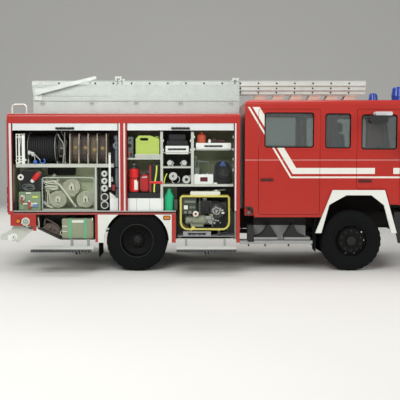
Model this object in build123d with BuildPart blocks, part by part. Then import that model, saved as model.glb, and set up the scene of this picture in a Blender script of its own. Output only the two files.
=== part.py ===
"""A four-wheel-drive fire engine with a crew cab, lockers on both sides and a ladder on its roof.

Millimetres. X points forward, Y to the left, Z up. The ground is Z = 0, and the origin lies
midway between the bumper's face and the tow jaw's back, on the centre plane.
"""
from math import cos, pi, radians, sin, sqrt
import os

from build123d import *

os.makedirs("parts", exist_ok=True)

# Overall
front_reach = 1300  # bumper's face ahead of the front axle
jaw_reach = 214  # tow jaw's back behind the body
wheelbase = 3600
half_width = 1250  # side plane of the body and the cab
seat_gap = 0.3  # clearance between a moving piece and its seat
joint_gap = 6  # clearance round doors and flaps


# Wheels
tyre_r = 510
rim_r = 285.5
front_tyre_w = 270
rear_tyre_w = 255
front_wheel_y = 1040  # front tyre's middle from the centre plane
rear_wheel_y = 1072  # outer rear tyre's middle
twin_pitch = 305
rim_half = 97
spindle_r = 45
bore_clearance = 0.1
kingpin_y = 880
axle_tube_r = 75

# Frame
rail_outer = 425
rail_flange = 75
rail_web = 8
rail_low = 700
rail_high = 930
crossmember = 120

# Cab, in X from the front axle
cab_back_reach = 1793  # cab's back behind the front axle
cab_front_reach = 1200
cab_wall = 50
cab_low = 916
cab_floor_low = 940
cab_floor_t = 40
cab_front_floor = 1310
cab_step_x = -640  # riser between the crew floor and the front floor
cab_belt = 1750  # where the windscreen starts to lean
cab_nose_low = 1120
cab_roof_seam = 2744
cab_roof_high = 2862
screen_lean = 150  # windscreen's top behind its foot
cab_gap = 82  # between the cab and the body

# Body
body_length = 3861
floor_low = 959
floor_high = 1021
opening_top = 2476
roof_low = 2502
roof_high = 2636
corner_post = 80
centre_post = 140
front_post = 93
locker_depth = 600
wall = 20
liner = 6
arch_back = 644  # arch panel's ends from the rear axle
arch_front = 588
arch_r = 541
arch_low = 488
housing_half = 446  # wheel housing's half length
housing_in = 590  # wheel housing's inner wall from the centre plane
housing_high = 1229
lower_low = 550  # lower lockers' floor

rear_reach = cab_back_reach + cab_gap + body_length + jaw_reach
axle_f = (rear_reach - front_reach) / 2
axle_r = axle_f - wheelbase
cab_back = axle_f - cab_back_reach
cab_front = axle_f + cab_front_reach
body_front = cab_back - cab_gap
body_back = body_front - body_length
back_wall_y = half_width - locker_depth
rear_bay = (body_back + corner_post, body_front - 2019)  # rear upper opening, back and front
front_bay = (rear_bay[1] + centre_post, body_front - front_post)
arch_x = (axle_r - arch_back, axle_r + arch_front)
lower_rear = (body_back + 483, arch_x[0] - 52)  # lower rear locker's opening
lower_front = (arch_x[1] + 73, body_front - 65)  # generator bay's opening

SIDES = (("right", -1), ("left", 1))


def block(x0, x1, y0, y1, z0, z1, mode=Mode.ADD):
    """A box between two corners, in the part being built."""
    size = (abs(x1 - x0), abs(y1 - y0), abs(z1 - z0))
    with Locations(((x0 + x1) / 2, (y0 + y1) / 2, (z0 + z1) / 2)):
        Box(*size, mode=mode)


def plate_y(points, y0, y1, mode=Mode.ADD, corner=0):
    """An outline of X and Z points, carried across from y0 to y1."""
    low, high = sorted((y0, y1))
    with BuildSketch(Plane.XZ.offset(-high)) as outline:
        with BuildLine():
            Polyline(*points, close=True)
        make_face()
        if corner:
            fillet(outline.vertices(), corner)
    extrude(outline.sketch, amount=high - low, mode=mode)


def plate_x(points, x0, x1, mode=Mode.ADD, corner=0):
    """An outline of Y and Z points, carried along from x0 to x1."""
    low, high = sorted((x0, x1))
    with BuildSketch(Plane.YZ.offset(low)) as outline:
        with BuildLine():
            Polyline(*points, close=True)
        make_face()
        if corner:
            fillet(outline.vertices(), corner)
    extrude(outline.sketch, amount=high - low, mode=mode)


def rod(start, end, radius, mode=Mode.ADD):
    """A round bar from one point to another."""
    a, b = Vector(*start), Vector(*end)
    with Locations(Plane(origin=a, z_dir=b - a).location):
        Cylinder(radius, (b - a).length, align=(Align.CENTER, Align.CENTER, Align.MIN), mode=mode)


def bent_bar(points, radius, bend, mode=Mode.ADD):
    """A round bar along a run of points, bent at each corner."""
    with BuildLine() as path:
        FilletPolyline(*points, radius=bend)
    with BuildSketch(path.line ^ 0) as section:
        Circle(radius)
    sweep(section.sketch, path=path.line, mode=mode)


def turned(origin, axis, outline, mode=Mode.ADD):
    """A shape turned about an axis; outline holds the distance along it and the radius."""
    across = Vector(0, 0, 1) if axis[2] == 0 else Vector(1, 0, 0)
    plane = Plane(origin=origin, x_dir=axis, z_dir=Vector(*axis).cross(across))
    with BuildSketch(plane) as profile:
        with BuildLine():
            Polyline(*outline, close=True)
        make_face()
    revolve(profile.sketch, Axis(origin, axis), mode=mode)


def panel_y(x0, x1, z0, z1, y0, y1, corner, mode=Mode.ADD):
    """A panel with rounded corners, seen square from the side."""
    plate_y([(x0, z0), (x1, z0), (x1, z1), (x0, z1)], y0, y1, mode=mode, corner=corner)


def save(part, name):
    """Labels a finished piece and writes it."""
    part.label = name
    export_step(part, f"parts/{name}.step")


# Frame: two channel rails with crossmembers between them
frame_back = body_back + 60
frame_front = cab_front - 70
crossmember_x = (frame_back + 80, axle_r - 620, axle_r + 620, body_front - 60, frame_front - 120)
rail_inner = rail_outer - rail_web
with BuildPart() as chassis_frame:
    for name, side in SIDES:
        block(frame_back, frame_front, side * rail_outer, side * (rail_outer - rail_flange), rail_low, rail_high)
        block(frame_back, frame_front, side * (rail_outer - rail_web), side * (rail_outer - rail_flange),
              rail_low + rail_web, rail_high - rail_web, mode=Mode.SUBTRACT)
    for x in crossmember_x:
        block(x - crossmember / 2, x - crossmember / 2 + rail_web, -rail_inner, rail_inner,
              rail_low + rail_web, rail_high - rail_web)
        for z in (rail_low + rail_web, rail_high - 2 * rail_web):
            block(x - crossmember / 2, x + crossmember / 2, -rail_inner, rail_inner, z, z + rail_web)
save(chassis_frame.part, "chassis_frame")

# Axles
yoke_x = 60
yoke_gap = 135  # yoke arm's face from the axle's middle
yoke_arm = 40
nose_r = 62
with BuildPart() as axles:
    rod((axle_f, -(kingpin_y - 120), tyre_r), (axle_f, kingpin_y - 120, tyre_r), axle_tube_r)
    with Locations((axle_f, 0, tyre_r)):
        Sphere(165)
    rod((axle_f, 0, tyre_r), (axle_f - 200, 0, tyre_r), nose_r)
    for name, side in SIDES:
        for level in (-1, 1):
            face = tyre_r + level * yoke_gap
            block(axle_f - yoke_x, axle_f + yoke_x, side * (kingpin_y - 140), side * (kingpin_y + 50),
                  face, face + level * yoke_arm)
        block(axle_f - yoke_x, axle_f + yoke_x, side * (kingpin_y - 140), side * (kingpin_y - 90),
              tyre_r - yoke_gap, tyre_r + yoke_gap)
    rear_hub_y = rear_wheel_y - 200
    rod((axle_r, -(rear_hub_y - 5), tyre_r), (axle_r, rear_hub_y - 5, tyre_r), axle_tube_r)
    rod((axle_r, -(rear_wheel_y - 151), tyre_r), (axle_r, rear_wheel_y - 151, tyre_r), spindle_r)
    with Locations((axle_r, 0, tyre_r)):
        Sphere(190)
    rod((axle_r, 0, tyre_r), (axle_r + 230, 0, tyre_r), nose_r)
    for name, side in SIDES:
        rod((axle_r, side * (rear_hub_y - 205), tyre_r), (axle_r, side * (rear_hub_y - 10), tyre_r), 205)
save(axles.part, "axles")

spring_half = 620
spring_leaf = 60
spring_seat = tyre_r + axle_tube_r
with BuildPart() as leaf_springs:
    for axle_x in (axle_f, axle_r):
        for name, side in SIDES:
            outer, inner = side * rail_outer, side * (rail_outer - rail_flange)
            with BuildSketch(Plane.XZ.offset(-max(outer, inner))) as leaf:
                with BuildLine():
                    ThreePointArc((axle_x - spring_half, rail_low - 40), (axle_x, spring_seat),
                                  (axle_x + spring_half, rail_low - 40))
                    Line((axle_x + spring_half, rail_low - 40), (axle_x + spring_half, rail_low))
                    Line((axle_x + spring_half, rail_low), (axle_x + spring_half - 90, rail_low))
                    ThreePointArc((axle_x + spring_half - 90, rail_low), (axle_x, spring_seat + spring_leaf),
                                  (axle_x - spring_half + 90, rail_low))
                    Line((axle_x - spring_half + 90, rail_low), (axle_x - spring_half, rail_low))
                    Line((axle_x - spring_half, rail_low), (axle_x - spring_half, rail_low - 40))
                make_face()
            extrude(leaf.sketch, amount=rail_flange)
save(leaf_springs.part, "leaf_springs")

# Steering knuckles and front wheels
hub_in = 40  # hub's inner face, inboard of the tyre's middle
hand_holes = 10
front_rim = (
    (-rim_half, rim_r), (rim_half, rim_r), (rim_half, 268), (46, 258), (40, 216), (98, 216),
    (112, 202), (112, 86), (150, 80), (150, 0), (30, 0), (30, spindle_r + bore_clearance),
    (-hub_in, spindle_r + bore_clearance), (-hub_in, 150), (16, 200), (24, 252), (-rim_half, 264),
)
twin_rim = (
    (rim_half, rim_r), (rim_half, 268), (-100, 256), (-118, 160), (-118, 112), (-60, 106), (-60, 0),
    (-150, 0), (-150, spindle_r + bore_clearance), (-200, spindle_r + bore_clearance), (-200, 200),
    (-240, 262), (-twin_pitch - rim_half, 262), (-twin_pitch - rim_half, rim_r),
)


def tyre_outline(width, middle=0):
    """A tyre's section: tread, shoulders, bulged walls and beads, symmetric about its middle."""
    half = [(0.4, tyre_r), (0.47, tyre_r - 26), (0.5, tyre_r - 110), (0.36, rim_r)]
    right = [(middle + share * width, radius) for share, radius in half]
    left = [(middle - share * width, radius) for share, radius in reversed(half)]
    return right + left


for name, side in SIDES:
    with BuildPart() as knuckle:
        rod((axle_f, side * kingpin_y, tyre_r - yoke_gap + seat_gap),
            (axle_f, side * kingpin_y, tyre_r + yoke_gap - seat_gap), 58)
        rod((axle_f, side * kingpin_y, tyre_r), (axle_f, side * (front_wheel_y + 29), tyre_r), spindle_r)
        rod((axle_f, side * (front_wheel_y - 65), tyre_r), (axle_f, side * (front_wheel_y - 45), tyre_r), 120)
    save(knuckle.part, f"knuckle_{name}")

    outward = (0, side, 0)
    front_wheel_at = (axle_f, side * front_wheel_y, tyre_r)
    rear_wheel_at = (axle_r, side * rear_wheel_y, tyre_r)
    with BuildPart() as front_tyre:
        turned(front_wheel_at, outward, tyre_outline(front_tyre_w))
    save(front_tyre.part, f"tyre_front_{name}")
    with BuildPart() as front_wheel:
        turned(front_wheel_at, outward, front_rim)
        for i in range(hand_holes):
            turn = 2 * pi * i / hand_holes
            x, z = axle_f + 236 * cos(turn), tyre_r + 236 * sin(turn)
            rod((x, side * front_wheel_y, z), (x, side * (front_wheel_y + 60), z), 15, mode=Mode.SUBTRACT)
    save(front_wheel.part, f"rim_front_{name}")

    with BuildPart() as twin_tyres:
        for middle in (0, -twin_pitch):
            turned(rear_wheel_at, outward, tyre_outline(rear_tyre_w, middle))
    save(twin_tyres.part, f"tyres_rear_{name}")
    with BuildPart() as twin_wheel:
        turned(rear_wheel_at, outward, twin_rim)
    save(twin_wheel.part, f"rims_rear_{name}")

# Engine, gearbox, transfer case and propeller shafts
shaft_z = 640
shaft_r = 42
with BuildPart() as driveline:
    block(axle_f - 600, axle_f + 300, -310, 310, rail_low + 10, cab_front_floor - 30)
    for x in (axle_f - 450, axle_f + 180):
        block(x - 60, x + 60, -(rail_outer - rail_flange), rail_outer - rail_flange, rail_low + 60, rail_low + 120)
    block(axle_f - 1500, axle_f - 600, -190, 190, rail_low - 100, rail_high - 30)
    rod((axle_f - 1500, 0, shaft_z), (axle_f - 1850, 0, shaft_z), shaft_r)
    block(axle_f - 2250, axle_f - 1850, -170, 170, 500, rail_low - 4)
    for name, side in SIDES:
        block(axle_f - 2120, axle_f - 1980, side * 170, side * (rail_outer - 20), rail_low - 60, rail_low)
    rod((axle_f - 2250, 0, shaft_z - 40), (axle_r + 234, 0, tyre_r), shaft_r)
    rod((axle_f - 1850, 0, shaft_z - 90), (axle_f - 204, 0, tyre_r), shaft_r)
save(driveline.part, "driveline")

# Fuel tank on the left and battery box on the right, hung outside the rails under the gap
tank_x = (axle_f - 1560, axle_f - 780)
with BuildPart() as tank_boxes:
    block(tank_x[0], tank_x[1], rail_outer, 900, 520, 880)
    block(tank_x[0], tank_x[0] + 500, -rail_outer, -800, 560, 860)
save(tank_boxes.part, "tank_boxes")

# Cab shell
screen_top = cab_front - screen_lean
side_top = cab_roof_seam
flare_out = (  # outer edge of the front flare, X from the front axle and Z
    (-618, 654), (-336, 1370), (531, 1370), (738, 654),
)
flare_in = (  # inner edge
    (-519, 654), (-390, 1127), (-108, 1285), (308, 1285), (518, 1120), (646, 654),
)
notch = 160
flare_lap = 30  # how far the flare lies over the cab's side
cab_side = [
    (cab_back, side_top), (cab_back, cab_low), (axle_f - 545 + flare_lap, cab_low),
    (axle_f - 336 + flare_lap, 1370 - flare_lap), (axle_f + 531 - flare_lap, 1370 - flare_lap),
    (axle_f + 603 - flare_lap, cab_nose_low),
    (cab_front, cab_nose_low), (cab_front, cab_belt), (screen_top, side_top),
]
crew_door = (-1565, -551, 966, 2706)  # back, front, low, high, X from the front axle
front_door = (65, 774, 1126, 2706)
door_arch = ((65, 1392), (547, 1392), (624, 1126))  # where the front door clears the flare
# window: back, front, low, high, X from the front axle
crew_window = (-1470, -653, 2074, 2652)
middle_window = (-465, -42, 2064, 2637)
front_window = (135, 724, 2043, 2621)
window_corner = 45


def window_hole(window, y0, y1, grow=0, mode=Mode.SUBTRACT):
    """A window's rounded opening through a side wall, or its pane with mode ADD."""
    back, front, low, high = window
    panel_y(axle_f + back - grow, axle_f + front + grow, low - grow, high + grow, y0, y1,
            window_corner + grow, mode=mode)


def door_outline(door, arch=None, grow=0):
    """A door's outline, its lower back corner cut back over the wheel where arch is given."""
    back, front, low, high = door
    points = [(axle_f + front + grow, low - grow), (axle_f + front + grow, high + grow),
              (axle_f + back - grow, high + grow)]
    if arch:
        points += [(axle_f + arch[0][0] - grow, arch[0][1] - grow),
                   (axle_f + arch[1][0] - grow, arch[1][1] - grow),
                   (axle_f + arch[2][0] - grow, low - grow)]
    else:
        points += [(axle_f + back - grow, low - grow)]
    return points


glass_t = 8
glass_in = 18  # glass's outer face inside the cab's side
door_corner = 38
frame_w = 38  # raised frame round each side window
frame_proud = 8
swage_z = 1876
swage_h = 12
swage_d = 5


def window_frame(window, side):
    """The raised frame round a side window, on the outer face."""
    outer = side * half_width
    window_hole(window, outer, outer + side * frame_proud, grow=frame_w, mode=Mode.ADD)
    window_hole(window, outer - side * cab_wall, outer + side * frame_proud)


def swage(x0, x1, side):
    """The pressed line along the cab's side."""
    block(x0, x1, side * half_width, side * (half_width - swage_d), swage_z, swage_z + swage_h, mode=Mode.SUBTRACT)


with BuildPart() as cab_sides:
    for name, side in SIDES:
        outer, inner = side * half_width, side * (half_width - cab_wall)
        plate_y(cab_side, outer, inner)
        rod((cab_back, outer, cab_low), (cab_back, inner, cab_low), notch, mode=Mode.SUBTRACT)
        plate_y(door_outline(crew_door, grow=joint_gap), outer, inner, mode=Mode.SUBTRACT,
                corner=door_corner + joint_gap)
        plate_y(door_outline(front_door, door_arch, joint_gap), outer, inner, mode=Mode.SUBTRACT,
                corner=door_corner + joint_gap)
        swage(cab_back, cab_front, side)
        window_frame(middle_window, side)
save(cab_sides.part, "cab_sides")

for name, side in SIDES:
    outer, inner = side * half_width, side * (half_width - cab_wall)
    pane = (side * (half_width - glass_in), side * (half_width - glass_in - glass_t))
    # door: label, outline, arch, window, back end and height of its handle
    for label, door, arch, window, handle_x, handle_z in (
        ("crew", crew_door, None, crew_window, -1535, 1542),
        ("front", front_door, door_arch, front_window, 95, 1523),
    ):
        with BuildPart() as cab_door:
            plate_y(door_outline(door, arch), outer, inner, corner=door_corner)
            swage(axle_f + door[0], axle_f + door[1], side)
            window_frame(window, side)
            handle = axle_f + handle_x
            panel_y(handle - 12, handle + 222, handle_z - 28, handle_z + 28, outer, outer - side * 14, 16,
                    mode=Mode.SUBTRACT)
            panel_y(handle, handle + 210, handle_z - 12, handle_z + 12, outer + side * 14, outer + side * 26, 8)
            for x in (handle + 8, handle + 182):
                block(x, x + 20, outer - side * 14, outer + side * 14, handle_z - 9, handle_z + 9)
        save(cab_door.part, f"door_{label}_{name}")
        with BuildPart() as door_glass:
            window_hole(window, *pane, mode=Mode.ADD)
        save(door_glass.part, f"glass_{label}_{name}")

inner_half = half_width - cab_wall
roof_edge = 78
with BuildPart() as cab_roof:
    block(cab_back, screen_top, -half_width, half_width, cab_roof_seam, cab_roof_high)
    fillet(cab_roof.faces().sort_by(Axis.Z)[-1].edges(), roof_edge)
    block(cab_back + 60, screen_top - 60, -inner_half + 20, inner_half - 20, cab_roof_seam, cab_roof_high - 40,
          mode=Mode.SUBTRACT)
    for x in (cab_back + 500, cab_back + 1150, cab_back + 1800):
        for y0, y1 in ((-900, -600), (600, 900)):
            block(x, x + 420, y0, y1, cab_roof_high, cab_roof_high + 6)
save(cab_roof.part, "cab_roof")

screen_half = 1090
screen_corner = 90
screen_low = 1860
screen_high = 2640
screen = [(-screen_half, screen_low), (screen_half, screen_low), (screen_half, screen_high),
          (-screen_half, screen_high)]
lean = screen_lean / (cab_roof_seam - cab_belt)


def screen_x(z):
    """The windscreen's outer face at height z."""
    return cab_front - lean * max(0, z - cab_belt)


with BuildPart() as cab_shell:
    low, top = cab_floor_low, cab_floor_low + cab_floor_t
    riser = axle_f + cab_step_x
    plate_y([(cab_back + cab_wall, low), (riser + cab_floor_t, low), (riser + cab_floor_t, cab_front_floor),
             (cab_front - cab_wall, cab_front_floor), (cab_front - cab_wall, cab_front_floor + cab_floor_t),
             (riser, cab_front_floor + cab_floor_t), (riser, top), (cab_back + cab_wall, top)],
            -inner_half, inner_half)
    block(cab_back, cab_back + cab_wall, -inner_half, inner_half, cab_floor_low, side_top)
    plate_y([(cab_front, cab_nose_low), (cab_front, cab_belt), (screen_top, cab_roof_seam),
             (screen_top - cab_wall, cab_roof_seam), (cab_front - cab_wall, cab_belt),
             (cab_front - cab_wall, cab_nose_low)], -inner_half, inner_half)
    plate_x(screen, screen_top - 100, cab_front + 10, mode=Mode.SUBTRACT, corner=screen_corner)
    for name, side in SIDES:
        tube_x, tube_z = cab_back + 68, cab_low + 71
        rod((tube_x, side * inner_half, tube_z), (tube_x, side * (half_width - 8), tube_z), 50)
save(cab_shell.part, "cab_shell")

with BuildPart() as cab_glazing:
    inset = 15  # glass behind the screen's outer face
    plate_y([(screen_x(screen_low) - inset, screen_low), (screen_x(screen_high) - inset, screen_high),
             (screen_x(screen_high) - inset - glass_t, screen_high),
             (screen_x(screen_low) - inset - glass_t, screen_low)], -screen_half, screen_half)
    plate_x(screen, screen_top - 100, cab_front, mode=Mode.INTERSECT, corner=screen_corner)
    for name, side in SIDES:
        window_hole(middle_window, side * (half_width - glass_in), side * (half_width - glass_in - glass_t),
                    mode=Mode.ADD)
save(cab_glazing.part, "cab_glazing")

# Grille, bumper and lamps
grille_half = 780
grille_low = 1220
grille_high = 1600
bumper_x = axle_f + front_reach
bumper_low = 480
bumper_high = cab_nose_low - 120
bumper_wing = axle_f + 700
bumper_half = half_width - 5
bumper_corner = 60
lamp_y = 900  # headlamps' middle from the centre plane
lamp_half = 170
lamp_z = (640, 800)
grille_bars = 6
with BuildPart() as bumper:
    pitch = (grille_high - grille_low) / grille_bars
    for i in range(grille_bars):
        bar = grille_low + i * pitch
        plate_y([(cab_front, bar), (cab_front + 20, bar), (cab_front + 30, bar + 0.25 * pitch),
                 (cab_front, bar + 0.6 * pitch)], -grille_half, grille_half)
    for y in (-grille_half, -grille_half / 3, grille_half / 3, grille_half):
        block(cab_front, cab_front + 16, y - 20, y + 20, grille_low, grille_high - 20)
    with BuildSketch(Plane.XY.offset(bumper_low)) as plan:
        with BuildLine():
            Polyline((bumper_wing, -bumper_half), (bumper_x - 170, -bumper_half), (bumper_x, -half_width + 190),
                     (bumper_x, half_width - 190), (bumper_x - 170, bumper_half), (bumper_wing, bumper_half),
                     (bumper_wing, half_width - 60), (frame_front, half_width - 60),
                     (frame_front, -half_width + 60), (bumper_wing, -half_width + 60), close=True)
        make_face()
        fillet(plan.vertices().sort_by(Axis.X)[-4:], bumper_corner)
    extrude(plan.sketch, amount=bumper_high - bumper_low)
    plate_y([(axle_f + 640, bumper_low - 10), (axle_f + 780, bumper_low - 10),
             (axle_f + 640, 1100)], -half_width, half_width, mode=Mode.SUBTRACT)
    for y in (-lamp_y, lamp_y):
        plate_x([(y - lamp_half, lamp_z[0]), (y + lamp_half, lamp_z[0]), (y + lamp_half, lamp_z[1]),
                 (y - lamp_half, lamp_z[1])], bumper_x - 60, bumper_x + 10, mode=Mode.SUBTRACT, corner=30)
    plate_x([(-300, bumper_low + 120), (300, bumper_low + 120), (300, bumper_low + 250), (-300, bumper_low + 250)],
            bumper_x - 90, bumper_x + 10, mode=Mode.SUBTRACT, corner=40)
save(bumper.part, "bumper")

beacon_x = axle_f + 780
with BuildPart() as lamps:
    for y in (-lamp_y, lamp_y):
        wide, base, tall = lamp_half - 5, lamp_z[0] + seat_gap, lamp_z[1] - 5
        plate_x([(y - wide, base), (y + wide, base), (y + wide, tall), (y - wide, tall)],
                bumper_x - 60 + seat_gap, bumper_x - 8, corner=26)
    for name, side in SIDES:
        for low in (985, 1135, 1285):
            panel = [(side * 1010, low), (side * 1170, low), (side * 1170, low + 130), (side * 1010, low + 130)]
            plate_x(panel, body_back - 34, body_back, corner=20)
        turned((beacon_x, side * 950, cab_roof_high), (0, 0, 1), (
            (0, 0), (0, 88), (55, 88), (60, 94), (75, 94), (200, 78), (226, 52), (235, 0)))
        rod((axle_f - 5570, side * half_width, 852), (axle_f - 5570, side * (half_width + 18), 852), 32)
        panel_y(arch_x[1] - 126, arch_x[1] - 33, 884, 932, side * half_width, side * (half_width + 16), 12)
        panel_y(axle_f + 980, axle_f + 1090, 1180, 1240, side * half_width, side * (half_width + 14), 12)
save(lamps.part, "lamps")

# Flares over the front wheels
flare_proud = 38
with BuildPart() as wheel_arches:
    for name, side in SIDES:
        points = [(axle_f + x, z) for x, z in flare_out] + [(axle_f + x, z) for x, z in reversed(flare_in)]
        plate_y(points, side * half_width, side * (half_width + flare_proud))
    for name, side in SIDES:
        outer, inner = side * half_width, side * (half_width - 30)
        plate_y([(arch_x[0], arch_low), (arch_x[1], arch_low), (arch_x[1], floor_low), (arch_x[0], floor_low)],
                outer, inner)
        rod((axle_r, side * (half_width - 31), tyre_r), (axle_r, side * (half_width + 1), tyre_r), arch_r,
            mode=Mode.SUBTRACT)
save(wheel_arches.part, "wheel_arches")

# Wheel chocks kept under the cab, each a wedge with one hollowed flank
chock_low, chock_high = 571, 779
with BuildPart() as chocks:
    # chock: hollow end, straight end and top, in X from the front axle
    for hollow, straight, top in ((-1615, -1240, -1390), (-774, -1132, -982)):
        lean = 25 if straight > hollow else -25
        start, end = (axle_f + hollow, chock_low + 14), (axle_f + top - lean, chock_high)
        with BuildSketch(Plane.XZ.offset(half_width - 270)) as wedge:
            with BuildLine():
                ThreePointArc(start, (0.4 * start[0] + 0.6 * end[0], 0.7 * start[1] + 0.3 * end[1]), end)
                Polyline(end, (axle_f + top + lean, chock_high), (axle_f + straight, chock_low + 14),
                         (axle_f + straight, chock_low), (axle_f + hollow, chock_low), start)
            make_face()
        extrude(wedge.sketch, amount=180)
save(chocks.part, "chocks")

# Seat shells, bench shell, dashboard and steering wheel
bench_front = cab_back + 510
with BuildPart() as cab_interior:
    for side in (-1, 1):
        block(axle_f + 140, axle_f + 440, side * 600, side * 920, cab_front_floor + cab_floor_t, 1600)
        plate_y([(axle_f + 520, 1640), (axle_f + 520, 1600), (axle_f + 90, 1600), (axle_f + 62, 2330),
                 (axle_f + 76, 2330), (axle_f + 110, 1625), (axle_f + 500, 1625)], side * 530, side * 990)
        plate_y([(axle_f + 62, 2330), (axle_f + 66, 2540), (axle_f + 80, 2540), (axle_f + 76, 2330)],
                side * 650, side * 870)
    block(cab_back + cab_wall, bench_front - 60, -1060, 1060, cab_floor_low + cab_floor_t, 1290)
    plate_y([(cab_back + cab_wall, 1290), (bench_front, 1290), (bench_front, 1325), (bench_front - 20, 1310),
             (cab_back + cab_wall + 50, 1310), (cab_back + cab_wall + 20, 2060), (cab_back + cab_wall, 2060)],
            -1100, 1100)
    dash_low, dash_high = cab_belt - 50, cab_belt + 100
    plate_y([(cab_front - 300, dash_low), (cab_front - cab_wall, dash_low), (cab_front - cab_wall, cab_belt),
             (cab_front - cab_wall - 20, dash_high), (cab_front - 200, dash_high)], -inner_half, inner_half)
    block(cab_front - cab_wall - 60, cab_front - cab_wall, -900, 900, cab_front_floor + cab_floor_t, dash_low)
    rod((axle_f + 960, 700, 1720), (axle_f + 700, 700, 1990), 30)
    with Locations(Plane(origin=(axle_f + 700, 700, 1990), z_dir=(-0.35, 0, 1)).location):
        Torus(225, 16)
        Box(450, 30, 16)
save(cab_interior.part, "cab_interior")

# Mirrors, on the front corners and above the right front door
with BuildPart() as mirrors:
    for side in (-1, 1):
        block(axle_f + 880, axle_f + 960, side * (half_width + 60), side * (half_width + 250), 2000, 2400)
        for z in (2040, 2360):
            rod((axle_f + 920, side * half_width, z), (axle_f + 920, side * (half_width + 62), z), 12)
save(mirrors.part, "mirrors")
with BuildPart() as kerb_mirror:
    panel_y(axle_f + 216, axle_f + 513, 2473, 2600, -(half_width + 130), -(half_width + 280), 40)
    panel_y(axle_f + 314, axle_f + 590, 2600, 2661, -(half_width + 60), -(half_width + 240), 24)
    rod((axle_f + 400, -(half_width + frame_proud + seat_gap), 2640),
        (axle_f + 400, -(half_width + 62), 2640), 12)
save(kerb_mirror.part, "kerb_mirror")

# Body roof and floor
with BuildPart() as body_roof:
    block(body_back, body_front, -half_width, half_width, roof_low, roof_high)
    fillet(body_roof.edges().filter_by(Axis.X).group_by(Axis.Z)[-1], 45)
save(body_roof.part, "body_roof")

with BuildPart() as body_floor:
    block(body_back + corner_post, axle_r - housing_half, -half_width, half_width, floor_low, floor_high)
    block(axle_r - housing_half, axle_r + housing_half, -housing_in, housing_in, floor_low, floor_high)
    block(axle_r + housing_half, lower_front[0] - liner, -half_width, half_width, floor_low, floor_high)
    block(lower_front[0] - liner, body_front - front_post, -housing_in, housing_in, floor_low, floor_high)
    for name, side in SIDES:
        block(axle_r - housing_half, axle_r + housing_half, side * half_width, side * (half_width - 40),
              floor_low, floor_high)
        block(frame_back, body_front - 100, side * rail_outer, side * (rail_outer - rail_flange),
              rail_high, floor_low)
save(body_floor.part, "body_floor")

# Red side frames of the body: posts, the strip over the openings and the panels below the sill
skin = 60
panel = 30
# post: back, front, low, high
posts = (
    (body_back, rear_bay[0], floor_low, roof_low),
    (rear_bay[1], front_bay[0], floor_high, roof_low),
    (front_bay[1], body_front, floor_high, roof_low),
    (body_front - 58, body_front, arch_low, floor_high),
)
# panel: back, front, low
lower_panels = (
    (body_back + 34, lower_rear[0] - 22, 771),
    (lower_rear[0] - 75, lower_rear[0] - 22, 688),
    (arch_x[0] - 43, arch_x[0], 496),
    (arch_x[1], lower_front[0] - 5, arch_low),
)
with BuildPart() as body_sides:
    for name, side in SIDES:
        outer = side * half_width
        for x0, x1, z0, z1 in posts:
            block(x0, x1, outer, side * (half_width - skin), z0, z1)
        block(body_back, body_front, outer, side * (half_width - skin), opening_top, roof_low)
        for x0, x1, z0 in lower_panels:
            block(x0, x1, outer, side * (half_width - panel), z0, floor_low)
save(body_sides.part, "body_sides")

# Locker back walls, with cross walls between the lockers and at the body's ends
with BuildPart() as locker_walls:
    for name, side in SIDES:
        block(rear_bay[0], body_front - 60, side * back_wall_y, side * (back_wall_y - wall),
              floor_high, roof_low)
        block(axle_r - housing_half, axle_r + housing_half, side * back_wall_y, side * (back_wall_y - wall),
              floor_high, housing_high, mode=Mode.SUBTRACT)
        cross_in, cross_out = side * (back_wall_y + seat_gap), side * (half_width - skin)
        block(rear_bay[1] + 20, front_bay[0] - 20, cross_in, cross_out, housing_high, roof_low)
        block(body_back, rear_bay[0] - seat_gap, side * 700, cross_out, floor_low, roof_low)
    block(body_front - 60 + seat_gap, body_front, -(half_width - skin), half_width - skin, floor_low, roof_low)
    block(body_back, rear_bay[0] - seat_gap, -700 + seat_gap, 700 - seat_gap, 2380, roof_low)
save(locker_walls.part, "locker_walls")

# The generator's sliding tray and its runners
runner_high = 34
tray_low = lower_low + runner_high + seat_gap
tray_t = 10
tray_lip = 671
tray_y = (-back_wall_y - 20, -(half_width - 60))
tray_x = (lower_front[0] + 20, lower_front[1] - 20)

# Lower lockers of folded sheet under the floor, and the housings over the rear wheels
slope_top = 721
slope_x = (lower_rear[0] + 22, lower_rear[0] + 371)  # where the rear locker's floor slopes
rear_liner = [(lower_rear[0], floor_low), (lower_rear[0], slope_top), (slope_x[0], slope_top),
              (slope_x[1], lower_low), (lower_rear[1], lower_low), (lower_rear[1], floor_low)]
front_liner = [(lower_front[0], floor_low), (lower_front[0], lower_low), (lower_front[1], lower_low),
               (lower_front[1], floor_low)]
with BuildPart() as lower_lockers:
    for name, side in SIDES:
        back_in = side * (back_wall_y - liner)
        front_edge = side * (half_width - 50)
        for outline in (rear_liner, front_liner):
            low, high = sorted((back_in, front_edge))
            with BuildSketch(Plane.XZ.offset(-high)) as shell:
                with BuildLine():
                    Polyline(*outline, close=True)
                make_face()
                offset(amount=liner, kind=Kind.INTERSECTION)
            extrude(shell.sketch, amount=high - low)
            plate_y(outline, side * back_wall_y, side * half_width, mode=Mode.SUBTRACT)
        block(body_back, body_front, side * (back_wall_y - 2 * liner), side * half_width, floor_low, floor_high,
              mode=Mode.SUBTRACT)
        block(axle_r - housing_half, axle_r + housing_half, side * housing_in, side * (half_width - skin - 2),
              floor_high, housing_high)
        block(axle_r - housing_half + liner, axle_r + housing_half - liner, side * (housing_in + liner),
              side * (half_width - skin - 2 - liner), floor_high, housing_high - liner, mode=Mode.SUBTRACT)
    for x in (tray_x[0] + 40, tray_x[1] - 40):
        block(x - 15, x + 15, tray_y[0], tray_y[1] + 10, lower_low, lower_low + runner_high)
save(lower_lockers.part, "lower_lockers")

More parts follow.
